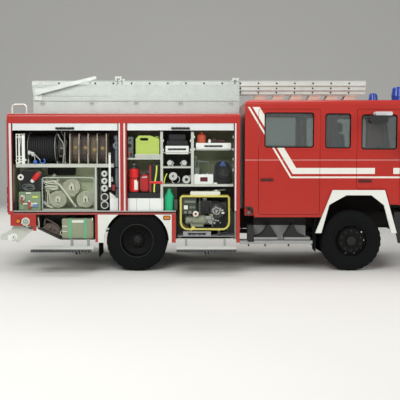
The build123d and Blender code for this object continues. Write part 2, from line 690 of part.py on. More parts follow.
# Shelves and dividers in the right lockers
divider_rear = (rear_bay[0] + 1363, rear_bay[0] + 1390)
divider_mid = (front_bay[0] + 554, front_bay[0] + 596)
divider_front = (front_bay[0] + 1066, front_bay[0] + 1113)
# board: back, front, low, high
boards = (
    (rear_bay[0] + 51, rear_bay[1] - 86, 1745, 1803),
    (*divider_rear, floor_high, 1745 - seat_gap),
    (divider_mid[1] + seat_gap, front_bay[1] - 14, 1425, 1465),
    (divider_mid[1] + seat_gap, divider_front[0] - seat_gap, 1732, 1760),
    (divider_mid[1] + seat_gap, divider_front[0] - seat_gap, 1985, 1995),
    (divider_front[1] + seat_gap, front_bay[1] - 14, 2043, 2053),
    (front_bay[0] + 2, divider_mid[0] - seat_gap, 1876, 1903),
    (front_bay[0] + 2, divider_mid[0] - seat_gap, housing_high, 1320),
    (*divider_mid, housing_high, 2344),
    (*divider_front, 1465 + seat_gap, 2336),
)
with BuildPart() as shelves:
    for x0, x1, z0, z1 in boards:
        block(x0, x1, -back_wall_y, -(half_width - skin), z0, z1)
save(shelves.part, "shelves")


def slats(low, high, inner, outer, pitch=74, flat=60):
    """A closed shutter's section as depth and height, with a groove between slats."""
    depth = (outer - inner) / abs(outer - inner) * 8
    points = [(inner, low), (outer, low)]
    count = int((high - low) / pitch)
    for i in range(1, count + 1):
        z = low + i * (high - low) / count
        points += [(outer, z - (pitch - flat)), (outer - depth, z - (pitch - flat) / 2)]
        if i < count:
            points += [(outer, z)]
    points += [(outer - depth, high), (inner, high)]
    return points


# Shutters: rolled up on the right with their bottom rails showing, closed on the left and at the back;
# lit guide strips stand beside the openings
strip_proud = 6
guide_strips = ((body_back + 32, body_back + 68), (rear_bay[1] + 8, rear_bay[1] + 30),
                (front_bay[0] - 52, front_bay[0] - 26), (front_bay[1] + 8, front_bay[1] + 32))
with BuildPart() as shutters:
    for x0, x1 in (rear_bay, front_bay):
        block(x0, x1, -(half_width - 10), -(half_width - 45), 2359, opening_top)
        block(x0, x1, -(half_width - 6), -(half_width - 10), 2359, 2395)
        middle = (x0 + x1) / 2
        rod((middle - 150, -(half_width + 12), 2392), (middle + 150, -(half_width + 12), 2392), 16)
        for x in (middle - 140, middle + 140):
            block(x - 8, x + 8, -(half_width - 10), -(half_width + 14), 2380, 2404)
        plate_x(slats(floor_high, opening_top, half_width - 45, half_width - 12), x0, x1)
    with BuildSketch(Plane.XZ.offset(-700 + seat_gap)) as rear_slats:
        with BuildLine():
            Polyline(*slats(floor_high, 2380, body_back + 60, body_back + 14), close=True)
        make_face()
    extrude(rear_slats.sketch, amount=2 * (700 - seat_gap))
    for name, side in SIDES:
        for x0, x1 in guide_strips:
            block(x0, x1, side * half_width, side * (half_width + strip_proud), floor_high, opening_top)
save(shutters.part, "shutters")

# Step flaps, let down at rest, each turning on a pin in two hangers under its lower locker
flap_hinge_z = 419
flap_over = 12  # flap's top above its hinge
flap_t = 40
flap_hinge_y = half_width - flap_t + flap_over
flap_reach = 531
flap_start = 14
flap_pin_r = 10
hanger_half = 20
knuckle_w = 40
# flap: label, back and front ends, hangers and latch, in X
flap_rows = (
    ("rear", lower_rear[0] - 22 + joint_gap, arch_x[0] - 43 - joint_gap,
     (axle_r - 1090, axle_r - 814), axle_r - 919),
    ("front", lower_front[0] + 17, lower_front[1] - 8,
     (lower_front[0] + 167, lower_front[1] - 183), lower_front[0] + 504),
)
for label, x0, x1, hangers, latch in flap_rows:
    for name, side in SIDES:
        with BuildPart() as flap:
            plate_x([(side * (flap_hinge_y + flap_start), flap_hinge_z + flap_over),
                     (side * (flap_hinge_y + flap_start), flap_hinge_z + flap_over - flap_t),
                     (side * (flap_hinge_y + flap_reach - 20), flap_hinge_z + flap_over - flap_t),
                     (side * (flap_hinge_y + flap_reach), flap_hinge_z + flap_over - 12),
                     (side * (flap_hinge_y + flap_reach), flap_hinge_z + flap_over)], x0, x1)
            for x in hangers:
                for xa in (x - hanger_half - 2 - knuckle_w, x + hanger_half + 2):
                    block(xa, xa + knuckle_w, side * (flap_hinge_y - flap_over),
                          side * (flap_hinge_y + flap_start), flap_hinge_z - flap_over, flap_hinge_z + flap_over)
                rod((x - hanger_half - knuckle_w - 2, side * flap_hinge_y, flap_hinge_z),
                    (x + hanger_half + knuckle_w + 2, side * flap_hinge_y, flap_hinge_z), flap_pin_r)
            under = flap_hinge_z + flap_over - flap_t
            plate_x([(side * (flap_hinge_y + 380), under), (side * (flap_hinge_y + 410), under - 34),
                     (side * (flap_hinge_y + 490), under - 34), (side * (flap_hinge_y + 505), under)],
                    latch - 45, latch + 45)
        save(flap.part, f"flap_{label}_{name}")

# Steps: boards and pads under the cab, the flaps' hangers, the rear step and ladder, the roof handrails
step_low = 464
step_t = 57
step_out = half_width - 5
hanger_top = lower_low - liner
rear_ladder = (body_back - 62, -980, -740)  # X, and Y of its two rails
with BuildPart() as steps:
    for name, side in SIDES:
        plate_x([(side * step_out, step_low), (side * step_out, step_low + step_t),
                 (side * (step_out - 255), step_low + step_t), (side * (step_out - 255), step_low + step_t - 8),
                 (side * (step_out - 20), step_low + step_t - 8), (side * (step_out - 20), step_low)],
                axle_f - 1873, axle_f - 660)
        for x0, x1 in ((-1657, -1240), (-1124, -691)):
            block(axle_f + x0, axle_f + x1, side * (half_width - 60), side * (half_width - 300), 533, chock_low)
            block(axle_f + x0 + 40, axle_f + x0 + 70, side * (half_width - 300), side * (half_width - 240),
                  step_low + step_t, 533)
        block(axle_f - 1628, axle_f - 741, side * (half_width - 300), side * (half_width - 315), step_low, 900)
        block(axle_f - 1740, axle_f - 1640, side * (half_width - 70), side * (half_width - 300),
              step_low + step_t, 771)
        for i in range(5):
            z = 590 + 38 * i
            block(axle_f - 1732, axle_f - 1648, side * (half_width - 70), side * (half_width - 76), z, z + 14,
                  mode=Mode.SUBTRACT)
        for x in (-1735, -1457, -1065):
            block(axle_f + x, axle_f + x + 24, side * (half_width - 30), side * (half_width - 80), 424, step_low)
            block(axle_f + x, axle_f + x + 24, side * step_out, side * (half_width - 80), step_low, step_low + 12)
        for x in (-1620, -771):
            block(axle_f + x, axle_f + x + 30, side * rail_outer, side * (half_width - 315), 890, 920)
        for label, x0, x1, hangers, latch in flap_rows:
            for x in hangers:
                back, face = side * (flap_hinge_y - 60), side * (flap_hinge_y - 18)
                plate_x([(back, hanger_top), (face, hanger_top), (face, flap_hinge_z + 10),
                         (side * flap_hinge_y, flap_hinge_z + 10), (side * flap_hinge_y, flap_hinge_z - 10),
                         (back, flap_hinge_z - 10)], x - hanger_half, x + hanger_half)
                rod((x - hanger_half, side * flap_hinge_y, flap_hinge_z),
                    (x + hanger_half, side * flap_hinge_y, flap_hinge_z), 13)
                rod((x - hanger_half - 1, side * flap_hinge_y, flap_hinge_z),
                    (x + hanger_half + 1, side * flap_hinge_y, flap_hinge_z),
                    flap_pin_r + seat_gap, mode=Mode.SUBTRACT)
        bent_bar([(body_back + 50, side * 1050, roof_high), (body_back + 50, side * 1050, 2792),
                  (body_back + 290, side * 1050, 2792), (body_back + 290, side * 1050, roof_high)], 17, 60)
        plate_y([(body_back - 50, 638), (body_back + 100, 804), (body_back + 383, 688), (body_back + 133, 471),
                 (body_back + 60, 530)], side * 1130, side * 1142)
        turned((body_back + 57, side * 1142, 571), (0, side, 0), (
            (0, 22), (0, 67), (14, 67), (14, 46), (60, 40), (60, 22)))
    block(body_back - 150, body_back + 60, -half_width + 40, half_width - 40, 530, 613)
    for y in (-500, 500):
        block(body_back + 90, body_back + 120, y - 40, y + 40, 613, floor_low)
        block(body_back - 20, body_back + 120, y - 40, y + 40, 585, 613)
    x, y0, y1 = rear_ladder
    for y in (y0, y1):
        bent_bar([(body_back, y, 1100), (x, y, 1100), (x, y, 2560), (body_back, y, 2560)], 16, 40)
    for i in range(5):
        rod((x, y0, 1180 + 300 * i), (x, y1, 1180 + 300 * i), 13)
save(steps.part, "steps")

# Roof gallery
gallery_y = 1100
gallery_x = (axle_f - 5319, body_front - 8)
gallery_t = 20
lug_x = (-5202, -4365, -3609, -2859, -2017)
with BuildPart() as gallery:
    for name, side in SIDES:
        outer, inner = side * gallery_y, side * (gallery_y - gallery_t)
        fold = side * (gallery_y + 18)
        plate_x([(inner, roof_high), (outer, roof_high), (outer, 2843), (fold, 2851), (fold, 2920), (outer, 2934),
                 (outer, 3122), (inner, 3122)], *gallery_x)
        for x in lug_x[1:]:
            panel_y(axle_f + x - 30, axle_f + x + 30, 2875, 2915, fold, side * (gallery_y + 24), 14)
        for x in lug_x:
            panel_y(axle_f + x - 22, axle_f + x + 22, 3080, 3160, outer, side * (gallery_y + 8), 12)
    deck = gallery_y - gallery_t - seat_gap
    block(*gallery_x, -deck, deck, roof_high, roof_high + 6)
save(gallery.part, "gallery")

# Three-section ladder: each section narrower and lower than the one above
ladder_x = (axle_f - 5426, axle_f + 313)
rung_pitch = 312
rung_r = 14
# section: rail's middle from the ladder's middle, rail's low and high edges
ladder_sections = ((230, 3128, 3215), (200, 3050, 3126), (170, 2984, 3048))
ladder_y = -420
rail_t = 26
with BuildPart() as ladder:
    for middle, low, high in ladder_sections:
        for side in (-1, 1):
            block(*ladder_x, ladder_y + side * (middle - rail_t / 2), ladder_y + side * (middle + rail_t / 2),
                  low, high)
        count = int((ladder_x[1] - ladder_x[0] - 300) / rung_pitch)
        for i in range(count + 1):
            x = ladder_x[0] + 150 + i * rung_pitch
            rod((x, ladder_y - middle, (low + high) / 2), (x, ladder_y + middle, (low + high) / 2), rung_r)
    for outer, inner in zip(ladder_sections, ladder_sections[1:]):
        for side in (-1, 1):
            for x in (ladder_x[0] + 300, (ladder_x[0] + ladder_x[1]) / 2, ladder_x[1] - 300):
                block(x - 40, x + 40, ladder_y + side * (inner[0] - rail_t / 2),
                      ladder_y + side * (outer[0] + rail_t / 2), inner[2], outer[1])
save(ladder.part, "ladder")

# Brackets that carry the ladder, with the lowering arm's pivot plate
arm_pivot = (axle_f - 5230, 2990)
arm_y = gallery_y + 60
arm_pin_r = 16
with BuildPart() as ladder_brackets:
    for x in (axle_f - 5000, axle_f - 3937, axle_f - 1931):
        block(x - 20, x + 20, -(gallery_y - gallery_t), gallery_y - gallery_t, 2944, 2984)
    for x, low, high in ((axle_f - 3937, 2983, 3290), (axle_f - 1931, 2977, 3264)):
        for y in (ladder_y - 300, ladder_y + 300):
            for x0 in (x - 55, x + 27):
                block(x0, x0 + 28, y - 15, y + 15, low, high)
                for i in range(4):
                    rod((x0 + 14, y - 16, low + 50 + 56 * i), (x0 + 14, y + 16, low + 50 + 56 * i), 8,
                        mode=Mode.SUBTRACT)
            block(x - 55, x + 55, y - 15, y + 15, 2960, 2984)
        rod((x, ladder_y - 300, high - 25), (x, ladder_y + 300, high - 25), 22)
        for y in (ladder_y - 300, ladder_y + 300):
            block(x - 55, x + 55, y - 15, y + 15, high - 40, high - 10)
    block(arm_pivot[0] - 60, arm_pivot[0] + 60, -(gallery_y + 18), -(gallery_y + 30), 2860, 3060)
    rod((arm_pivot[0], -(gallery_y + 18), arm_pivot[1]), (arm_pivot[0], -(arm_y + 34), arm_pivot[1]), arm_pin_r)
save(ladder_brackets.part, "ladder_brackets")

arm_length = 1000
arm_angle = 14
with BuildPart() as ladder_arm:
    dx, dz = cos(radians(arm_angle)), sin(radians(arm_angle))
    px, pz = arm_pivot
    tip = (px + arm_length * dx, pz + arm_length * dz)
    plate_y([(px + 40 * dz, pz - 40 * dx), (tip[0] + 25 * dz, tip[1] - 25 * dx),
             (tip[0] - 25 * dz, tip[1] + 25 * dx), (px - 40 * dz, pz + 40 * dx)], -(arm_y - 20), -(arm_y + 20))
    rod((px, -(arm_y - 20), pz), (px, -(arm_y + 20), pz), 46)
    rod((px, -(arm_y - 30), pz), (px, -(arm_y + 30), pz), arm_pin_r + 0.1, mode=Mode.SUBTRACT)
save(ladder_arm.part, "ladder_arm")

# Tow jaw at the rear, two plates with a bore for the coupling pin
jaw_r = 20
jaw_z = 800
with BuildPart() as tow_jaw:
    block(axle_f - rear_reach, body_back + 60, -70, 70, jaw_z + 40, jaw_z + 65)
    block(axle_f - rear_reach, body_back + 60, -70, 70, jaw_z - 65, jaw_z - 40)
    block(body_back - 60, body_back + 60, -70, 70, jaw_z - 65, jaw_z + 65)
    rod((axle_f - rear_reach + 70, 0, jaw_z - 80), (axle_f - rear_reach + 70, 0, jaw_z + 80), jaw_r,
        mode=Mode.SUBTRACT)
    block(body_back + 60, frame_back + 20, -90, 90, rail_low + rail_web, rail_high - rail_web)
save(tow_jaw.part, "tow_jaw")

with BuildPart() as mudflaps:
    for side in (-1, 1):
        block(axle_r - 636, axle_r - 624, side * 640, side * (half_width - 31), 238, floor_low)
        block(axle_f - 616, axle_f - 604, side * 880, side * (half_width - 2), 338, cab_low)
save(mudflaps.part, "mudflaps")

# Hose reel: drum on a shaft along X, between two stands on the shelf
reel_y = -930
reel_z = 2070
reel_x = (rear_bay[0] + 243, rear_bay[0] + 703)
reel_r = 262
shelf_top = 1803
shaft_pin_r = 15
stand_gap = 10
with BuildPart() as hose_reel:
    turned((reel_x[0], reel_y, reel_z), (1, 0, 0), (
        (-24, 0), (-24, shaft_pin_r), (0, shaft_pin_r), (0, reel_r), (8, reel_r), (8, reel_r - 24),
        (reel_x[1] - reel_x[0] - 8, reel_r - 24), (reel_x[1] - reel_x[0] - 8, reel_r),
        (reel_x[1] - reel_x[0], reel_r), (reel_x[1] - reel_x[0], shaft_pin_r),
        (reel_x[1] - reel_x[0] + 24, shaft_pin_r), (reel_x[1] - reel_x[0] + 24, 0)))
    for i in range(6):
        turn = 2 * pi * i / 6
        y, z = reel_y + 150 * cos(turn), reel_z + 150 * sin(turn)
        rod((reel_x[1] - 8, y, z), (reel_x[1] + 1, y, z), 45, mode=Mode.SUBTRACT)
save(hose_reel.part, "hose_reel")

# Fittings: reel stands with a guide bar, hose rack, standpipe, coupling ends, valves, coil frame and caps
kit_front = -(half_width - 70)
rack_x = rear_bay[0] + 939
rack_pitch = 152
frame_back_y, frame_front_y = -860, -1140
coil_r = 155
coil_tray = 24  # height of the tray under the coils
coil_low = floor_high + coil_tray + coil_r
coils_x = (rear_bay[0] + 726, rear_bay[0] + 1192)
coil_high = coil_low + sqrt((2 * coil_r) ** 2 - ((coils_x[1] - coils_x[0]) / 2) ** 2)
pipe_x = rear_bay[1] - 51
# coupling: height and radius
couplings = ((1112, 65), (1244, 65), (1394, 57), (1517, 52), (1638, 52))
with BuildPart() as fittings:
    for x in (reel_x[0] - 20, reel_x[1] + stand_gap):
        plate_x([(reel_y - 150, shelf_top), (reel_y + 150, shelf_top), (reel_y + 40, reel_z + 50),
                 (reel_y - 40, reel_z + 50)], x, x + 10)
        rod((x - 1, reel_y, reel_z), (x + 11, reel_y, reel_z), shaft_pin_r + seat_gap, mode=Mode.SUBTRACT)
    turned((reel_x[1] + 30, reel_y, reel_z), (1, 0, 0), (
        (-10, 20), (-10, 60), (0, 60), (0, 150), (90, 150), (120, 110), (130, 0), (0, 0), (0, 20)))
    guide = rear_bay[0] + 864
    bent_bar([(guide - 61, -1150, 2341), (guide + 27, -1150, 2161), (guide, -1150, 2036),
              (guide, -1150, shelf_top)], 12, 30)
    for x in (57, 97):
        rod((rear_bay[0] + x, kit_front, shelf_top), (rear_bay[0] + x, kit_front, 2303), 9)
    block(rear_bay[0] + 150, rear_bay[0] + 200, kit_front + 10, kit_front - 10, shelf_top, 2280)
    for z in (1925, 2250):
        rod((rear_bay[0] + 57, kit_front, z), (rear_bay[0] + 175, kit_front, z), 8)
    for i in range(5):
        x = rack_x + i * rack_pitch
        plate_x([(kit_front, shelf_top), (kit_front + 60, 2308), (-690, 2308), (-690, shelf_top)], x, x + 8)
    turned((pipe_x, -1000, housing_high), (0, 0, 1), (
        (0, 0), (0, 50), (14, 50), (30, 32), (960, 32), (985, 48), (1040, 48), (1070, 0)))
    turned((pipe_x, -1028, 2106), (0, -1, 0), ((0, 30), (0, 58), (22, 58), (22, 30)))
    block(rear_bay[1] - 167, rear_bay[1] - 132, -(half_width - skin + seat_gap), -(half_width - 48), 1417, 1990)
    for z, r in couplings:
        turned((rear_bay[1] - 244, -back_wall_y, z), (0, -1, 0), (
            (0, 0), (0, r - 14), (440, r - 14), (450, r), (510, r), (510, r - 12), (460, r - 12), (460, 0)))
    for x, z in ((153, 1237), (285, 1127)):
        turned((rear_bay[0] + x, kit_front, z), (0, -1, 0), (
            (0, 0), (0, 14), (18, 14), (18, 44), (30, 44), (34, 30), (34, 0)))
    block(rear_bay[0] + 466, rear_bay[0] + 1350, frame_back_y, frame_front_y,
          floor_high, floor_high + coil_tray - seat_gap)
    for y in (frame_back_y, frame_front_y):
        bent_bar([(rear_bay[0] + 473, y, floor_high + 10), (rear_bay[0] + 473, y, 1572),
                  (rear_bay[0] + 1344, y, 1572), (rear_bay[0] + 1344, y, floor_high + 10)], 10, 40)
    for x in (560, 1256):
        rod((rear_bay[0] + x, frame_back_y, 1572), (rear_bay[0] + x, frame_front_y, 1572), 8)
    for side in (-1, 1):
        turned((body_back + 291, side * half_width, 843), (0, side, 0), (
            (0, 0), (0, 68), (18, 68), (18, 50), (10, 44), (10, 0)))
save(fittings.part, "fittings")

# Hoses: rolls standing in the rack, coils in their frame with a folded bundle on them
roll_r = 248
with BuildPart() as hoses:
    for i in range(4):
        x = rack_x + i * rack_pitch + 8 + seat_gap
        z = shelf_top + roll_r
        rod((x, reel_y, z), (x + rack_pitch - 8 - 2 * seat_gap, reel_y, z), roll_r)
    for x, z in ((coils_x[0], coil_low), (coils_x[1], coil_low), (sum(coils_x) / 2, coil_high)):
        rod((x, -900, z), (x, -1120, z), coil_r - seat_gap)
    panel_y(rear_bay[0] + 487, rear_bay[0] + 753, coil_low + coil_r, 1558, -900, -1115, 24)
save(hoses.part, "hoses")

# Boxes, bags and drawers on the right, each with rounded corners
# case: datum, back, front, low, high, depth, corner
case_rows = (
    (rear_bay[0], 85, 445, floor_high, 1337, 450, 12),
    (rear_bay[0], 86, 453, 1337 + seat_gap, 1703, 420, 70),
    (front_bay[0], 11, 103, 1903, 2253, 420, 10),
    (front_bay[0], 132, 549, 1903, 1966 - seat_gap, 480, 8),
    (front_bay[0], 404, 542, 1320, 1787, 460, 24),
    (front_bay[0], 216, 364, 1320, 1637, 300, 30),
    (front_bay[0], 366, 402, 1320 + seat_gap, 1778, 200, 14),
    (front_bay[0], 639, 1027, 1995, 2103, 500, 8),
    (front_bay[0], 660, 1010, 2103 + seat_gap, 2190, 460, 20),
    (front_bay[1], -638, -55, 2053, 2151, 500, 8),
    (front_bay[1], -668, -350, 1465, 1627, 440, 14),
    (front_bay[1], -349, -38, 1465, 1853, 400, 90),
    (lower_rear[1], -559, -33, lower_low, 887, 500, 26),
)
with BuildPart() as cases:
    for datum, back, front, low, high, depth, corner in case_rows:
        panel_y(datum + back, datum + front, low, high, kit_front, kit_front + depth, corner)
    turned((front_bay[1] - 177, kit_front, 1661), (0, -1, 0), ((0, 0), (0, 100), (10, 100), (16, 88), (16, 0)))
    for datum, back, front, z in ((front_bay[0], 639, 1027, 2049), (front_bay[1], -638, -55, 2102)):
        middle = datum + (back + front) / 2
        panel_y(middle - 80, middle + 80, z - 12, z + 12, kit_front, kit_front - 16, 8)
    panel_y(lower_rear[1] - 390, lower_rear[1] - 175, 790, 850, kit_front, kit_front - 14, 14)
    for x in (-600, -420):
        block(front_bay[1] + x - 12, front_bay[1] + x + 12, kit_front, kit_front - 8, 1520, 1570)
save(cases.part, "cases")

# Canisters, fire extinguisher and couplings in the front locker
can_x = (front_bay[0] + 144, front_bay[0] + 537)
gas_x = front_bay[0] + 110
with BuildPart() as canisters:
    plate_y([(can_x[0], 1966), (can_x[1], 1966), (can_x[1], 2215), (can_x[1] - 60, 2240), (can_x[0] + 240, 2274),
             (can_x[0] + 50, 2274), (can_x[0], 2215)], -1180, -950, corner=24)
    panel_y(can_x[0] + 70, can_x[0] + 210, 2190, 2235, -1190, -940, 20, mode=Mode.SUBTRACT)
    rod((can_x[1] - 44, -1065, 2220), (can_x[1] - 44, -1065, 2262), 30)
    turned((gas_x, -1080, 1320), (0, 0, 1), (
        (0, 0), (0, 82), (30, 89), (370, 89), (412, 66), (432, 26), (460, 26), (460, 34), (488, 34), (488, 18),
        (511, 18), (511, 0)))
    block(gas_x - 10, gas_x + 10, -1080, -1170, 1795, 1812)
    turned((axle_r + housing_half + 95, -1080, floor_high), (0, 0, 1), (
        (0, 0), (0, 78), (241, 78), (300, 40), (325, 34), (363, 34), (363, 0)))
    turned((front_bay[1] - 546, -1090, 2151), (0, 0, 1), (
        (0, 0), (0, 72), (128, 72), (150, 40), (156, 26), (185, 26), (185, 0)))
    for x in (722, 938):
        turned((front_bay[0] + x, -1080, 1760), (0, 0, 1), (
            (0, 0), (0, 48), (40, 48), (46, 36), (70, 36), (76, 44), (90, 44), (90, 0)))
    for x, z, r in ((765, 1593, 68), (988, 1540, 67)):
        turned((front_bay[0] + x, -back_wall_y, z), (0, -1, 0), (
            (0, 0), (0, r - 20), (420, r - 20), (430, r), (500, r), (500, r - 16), (440, r - 16), (440, 0)))
save(canisters.part, "canisters")

# The generator's tray: a plate with a front lip that has a hand slot
lip_x = (lower_front[0] + 117, lower_front[1] - 416)
with BuildPart() as generator_tray:
    block(*tray_x, *tray_y, tray_low, tray_low + tray_t)
    block(*lip_x, tray_y[1], tray_y[1] + 8, tray_low, tray_lip)
    panel_y(lip_x[0] + 140, lip_x[0] + 330, 614, 652, tray_y[1] - 1, tray_y[1] + 9, 16, mode=Mode.SUBTRACT)
    panel_y(lip_x[0] + 130, lip_x[0] + 340, 606, 660, tray_y[1], tray_y[1] - 12, 20)
    panel_y(lip_x[0] + 146, lip_x[0] + 324, 620, 646, tray_y[1] + 1, tray_y[1] - 13, 12, mode=Mode.SUBTRACT)
save(generator_tray.part, "generator_tray")

# Generator: two bent tube rings joined by cross tubes, standing on rubber feet
set_x = (lower_front[0] + 59, lower_front[1] - 91)
set_z = (684, 1275)
set_y = (-1140, -750)
tube = 17
top_bend, foot_bend = 40, 120


def tube_ring(y):
    """A closed ring of tube across Y, tight bends at the top and wide ones at the foot."""
    x0, x1, z0, z1 = set_x[0] + tube, set_x[1] - tube, set_z[0] + tube, set_z[1] - tube
    with BuildSketch(Plane.XZ.offset(-y)) as ring:
        with BuildLine():
            Polyline((x0, z0), (x1, z0), (x1, z1), (x0, z1), close=True)
        make_face()
        fillet(ring.vertices().group_by(Axis.Y)[0], foot_bend)
        fillet(ring.vertices().group_by(Axis.Y)[-1], top_bend)
    path = ring.sketch.faces()[0].outer_wire()
    with BuildSketch(path ^ 0) as section:
        Circle(tube)
    sweep(section.sketch, path=path)


plate_top = set_z[0] + 2 * tube + 8
with BuildPart() as generator_frame:
    for y in set_y:
        tube_ring(y)
        for x in (set_x[0] + 190, set_x[1] - 190):
            rod((x, y, tray_low + tray_t + seat_gap), (x, y, set_z[0] + tube), 24)
    for x in (set_x[0] + 190, set_x[1] - 190):
        for z in (set_z[0] + tube, set_z[1] - tube):
            rod((x, set_y[0], z), (x, set_y[1], z), 15)
save(generator_frame.part, "generator_frame")

# Its engine, alternator, control panel, fuel tank and base plate
shaft_y = -950
with BuildPart() as generator_engine:
    block(set_x[0] + 150, set_x[1] - 150, *set_y, plate_top - 8 + seat_gap, plate_top)
    turned((set_x[0] + 90, shaft_y, 849), (1, 0, 0), (
        (0, 0), (0, 70), (20, 92), (60, 92), (64, 84), (120, 84), (124, 96), (330, 96), (334, 84), (380, 84),
        (384, 92), (450, 92), (450, 0)))
    block(set_x[0] + 180, set_x[0] + 400, shaft_y - 60, shaft_y + 60, plate_top, 800)
    panel_y(set_x[0] + 540, set_x[1] - 60, plate_top, 1150, set_y[0] + 110, set_y[1] - 60, 24)
    turned((set_x[0] + 622, set_y[0] + 110, 1000), (0, -1, 0), (
        (0, 0), (0, 140), (30, 140), (50, 118), (62, 118), (62, 60), (70, 50), (70, 0)))
    panel_y(set_x[0] + 300, set_x[0] + 550, 960, 1180, set_y[0] + 70, set_y[1] - 60, 40)
    turned((set_x[0] + 420, -1000, 1175), (0, 0, 1), ((0, 0), (0, 36), (30, 36), (36, 30), (36, 0)))
    panel_y(set_x[0] + 42, set_x[0] + 280, 955, 1232, set_y[0] + 20, set_y[0] + 110, 12)
    block(set_x[0] + 60, set_x[0] + 300, set_y[0] + 110, set_y[1] - 60, 1000, 1060)
    panel_y(set_x[0] + 178, set_x[0] + 650, set_z[1] + seat_gap, 1338, set_y[0], -830, 18)
save(generator_engine.part, "generator_engine")
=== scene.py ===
"""Looks of the crew-cab fire engine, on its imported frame.

Metres, in the frame's axes: X forward, Y left, Z up, ground at Z = 0. Places are worked out from the
frame's boxes, mostly from the front axle, and sizes are written as seen on the object.
"""
from math import atan2, cos, pi, radians, sin, sqrt

import bpy
import numpy as np
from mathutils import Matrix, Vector


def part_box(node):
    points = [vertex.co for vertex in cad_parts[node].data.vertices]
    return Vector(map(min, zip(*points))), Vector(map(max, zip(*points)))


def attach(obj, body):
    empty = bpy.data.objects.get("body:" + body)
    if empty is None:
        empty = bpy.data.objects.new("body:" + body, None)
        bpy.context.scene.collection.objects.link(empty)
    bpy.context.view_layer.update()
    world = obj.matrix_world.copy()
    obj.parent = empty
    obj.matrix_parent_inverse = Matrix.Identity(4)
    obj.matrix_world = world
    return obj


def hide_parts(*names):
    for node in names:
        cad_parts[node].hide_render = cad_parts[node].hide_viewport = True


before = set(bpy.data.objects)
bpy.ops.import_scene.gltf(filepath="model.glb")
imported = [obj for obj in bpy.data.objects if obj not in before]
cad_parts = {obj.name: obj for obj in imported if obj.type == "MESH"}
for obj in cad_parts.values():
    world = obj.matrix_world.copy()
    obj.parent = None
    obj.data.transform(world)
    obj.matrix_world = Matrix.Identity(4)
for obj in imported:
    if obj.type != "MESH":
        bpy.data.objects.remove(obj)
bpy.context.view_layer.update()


# Places read from the frame

def corner(node, end, axis):
    """One coordinate of a node's box: end 0 is its low corner and 1 its high one."""
    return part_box(node)[end][axis]


def middle(node, axis):
    """The middle of a node's box along one axis."""
    return (corner(node, 0, axis) + corner(node, 1, axis)) / 2


FRONT = middle("tyre_front_right", 0)  # front axle
REAR = middle("tyres_rear_right", 0)
HUB = middle("tyre_front_right", 2)
SIDE = corner("body_roof", 1, 1)  # side plane of body and cab
BODY_BACK = corner("body_roof", 0, 0)
BODY_FRONT = corner("body_roof", 1, 0)
FLOOR = corner("body_floor", 1, 2)
CAB_FRONT = corner("cab_shell", 1, 0)
SIDES = (("right", -1), ("left", 1))
AHEAD, LEFT, UP, OUT = (1, 0, 0), (0, 1, 0), (0, 0, 1), (0, -1, 0)  # directions; out of the right side


# Materials

class Wire:
    """A socket of a material's nodes; its operators add Math nodes."""

    def __init__(self, tree, socket):
        self.tree, self.socket = tree, socket

    def node(self, kind, settings=None, inputs=None, output=0):
        """Adds a node of any kind: its settings first, then the values or links of its sockets."""
        made = self.tree.nodes.new(kind)
        for key, value in (settings or {}).items():
            if key == "stops":
                ramp = made.color_ramp
                while len(ramp.elements) < len(value):
                    ramp.elements.new(0.5)
                for element, (place, colour) in zip(ramp.elements, value):
                    element.position, element.color = place, colour
            else:
                setattr(made, key, value)
        for key, value in (inputs or {}).items():
            if isinstance(value, Wire):
                self.tree.links.new(value.socket, made.inputs[key])
            else:
                made.inputs[key].default_value = value
        return Wire(self.tree, made.outputs[output])

    def maths(self, operation, *values):
        return self.node("ShaderNodeMath", {"operation": operation}, dict(enumerate(values)))

    def __add__(self, other):
        return self.maths("ADD", self, other)

    def __radd__(self, other):
        return self.maths("ADD", other, self)

    def __sub__(self, other):
        return self.maths("SUBTRACT", self, other)

    def __rsub__(self, other):
        return self.maths("SUBTRACT", other, self)

    def __mul__(self, other):
        return self.maths("MULTIPLY", self, other)

    def __rmul__(self, other):
        return self.maths("MULTIPLY", other, self)

    def __gt__(self, other):
        return self.maths("GREATER_THAN", self, other)

    def __lt__(self, other):
        return self.maths("LESS_THAN", self, other)

    def __or__(self, other):
        return self.maths("MAXIMUM", self, other)

    def __abs__(self):
        return self.maths("ABSOLUTE", self)

    def wave(self, length):
        """Runs from 0 to 1 and back once in each length."""
        return self.maths("SINE", self * (2 * pi / length)) * 0.5 + 0.5


class Place:
    """The point that a material is asked about, and the patterns worked out from it."""

    def __init__(self, tree):
        coordinates = tree.nodes.new("ShaderNodeTexCoord")
        self.at = Wire(tree, coordinates.outputs["Object"])
        split = self.at.node("ShaderNodeSeparateXYZ", None, {0: self.at})
        outputs = split.socket.node.outputs
        self.x, self.y, self.z = (Wire(tree, outputs[axis]) for axis in range(3))
        self.side = abs(self.y)

    def noise(self, size, detail=3.0):
        """Cloudy noise whose patches are about size across."""
        return self.at.node("ShaderNodeTexNoise", None, {"Vector": self.at, "Scale": 1 / size, "Detail": detail})

    def cells(self, size):
        """Distance to the nearest of scattered points, about size apart."""
        return self.at.node("ShaderNodeTexVoronoi", None, {"Vector": self.at, "Scale": 1 / size})

    def mix(self, share, first, second):
        """From the first colour, at share 0, to the second, at 1."""
        settings = {"data_type": "RGBA"}
        return self.at.node("ShaderNodeMix", settings, {0: share, 6: first, 7: second}, output=2)

    def bump(self, height, depth, base=None):
        """A normal bent by height, where height 1 stands depth above height 0."""
        inputs = {"Height": height, "Distance": depth, "Strength": 1.0}
        if base:
            inputs["Normal"] = base
        return self.at.node("ShaderNodeBump", None, inputs)

    def within(self, **limits):
        """1 inside the named limits, such as x=(0, 1), and 0 outside."""
        share = None
        for axis, (low, high) in limits.items():
            value = getattr(self, axis)
            inside = (value > low) * (value < high)
            share = inside if share is None else share * inside
        return share


FINISHES = {}


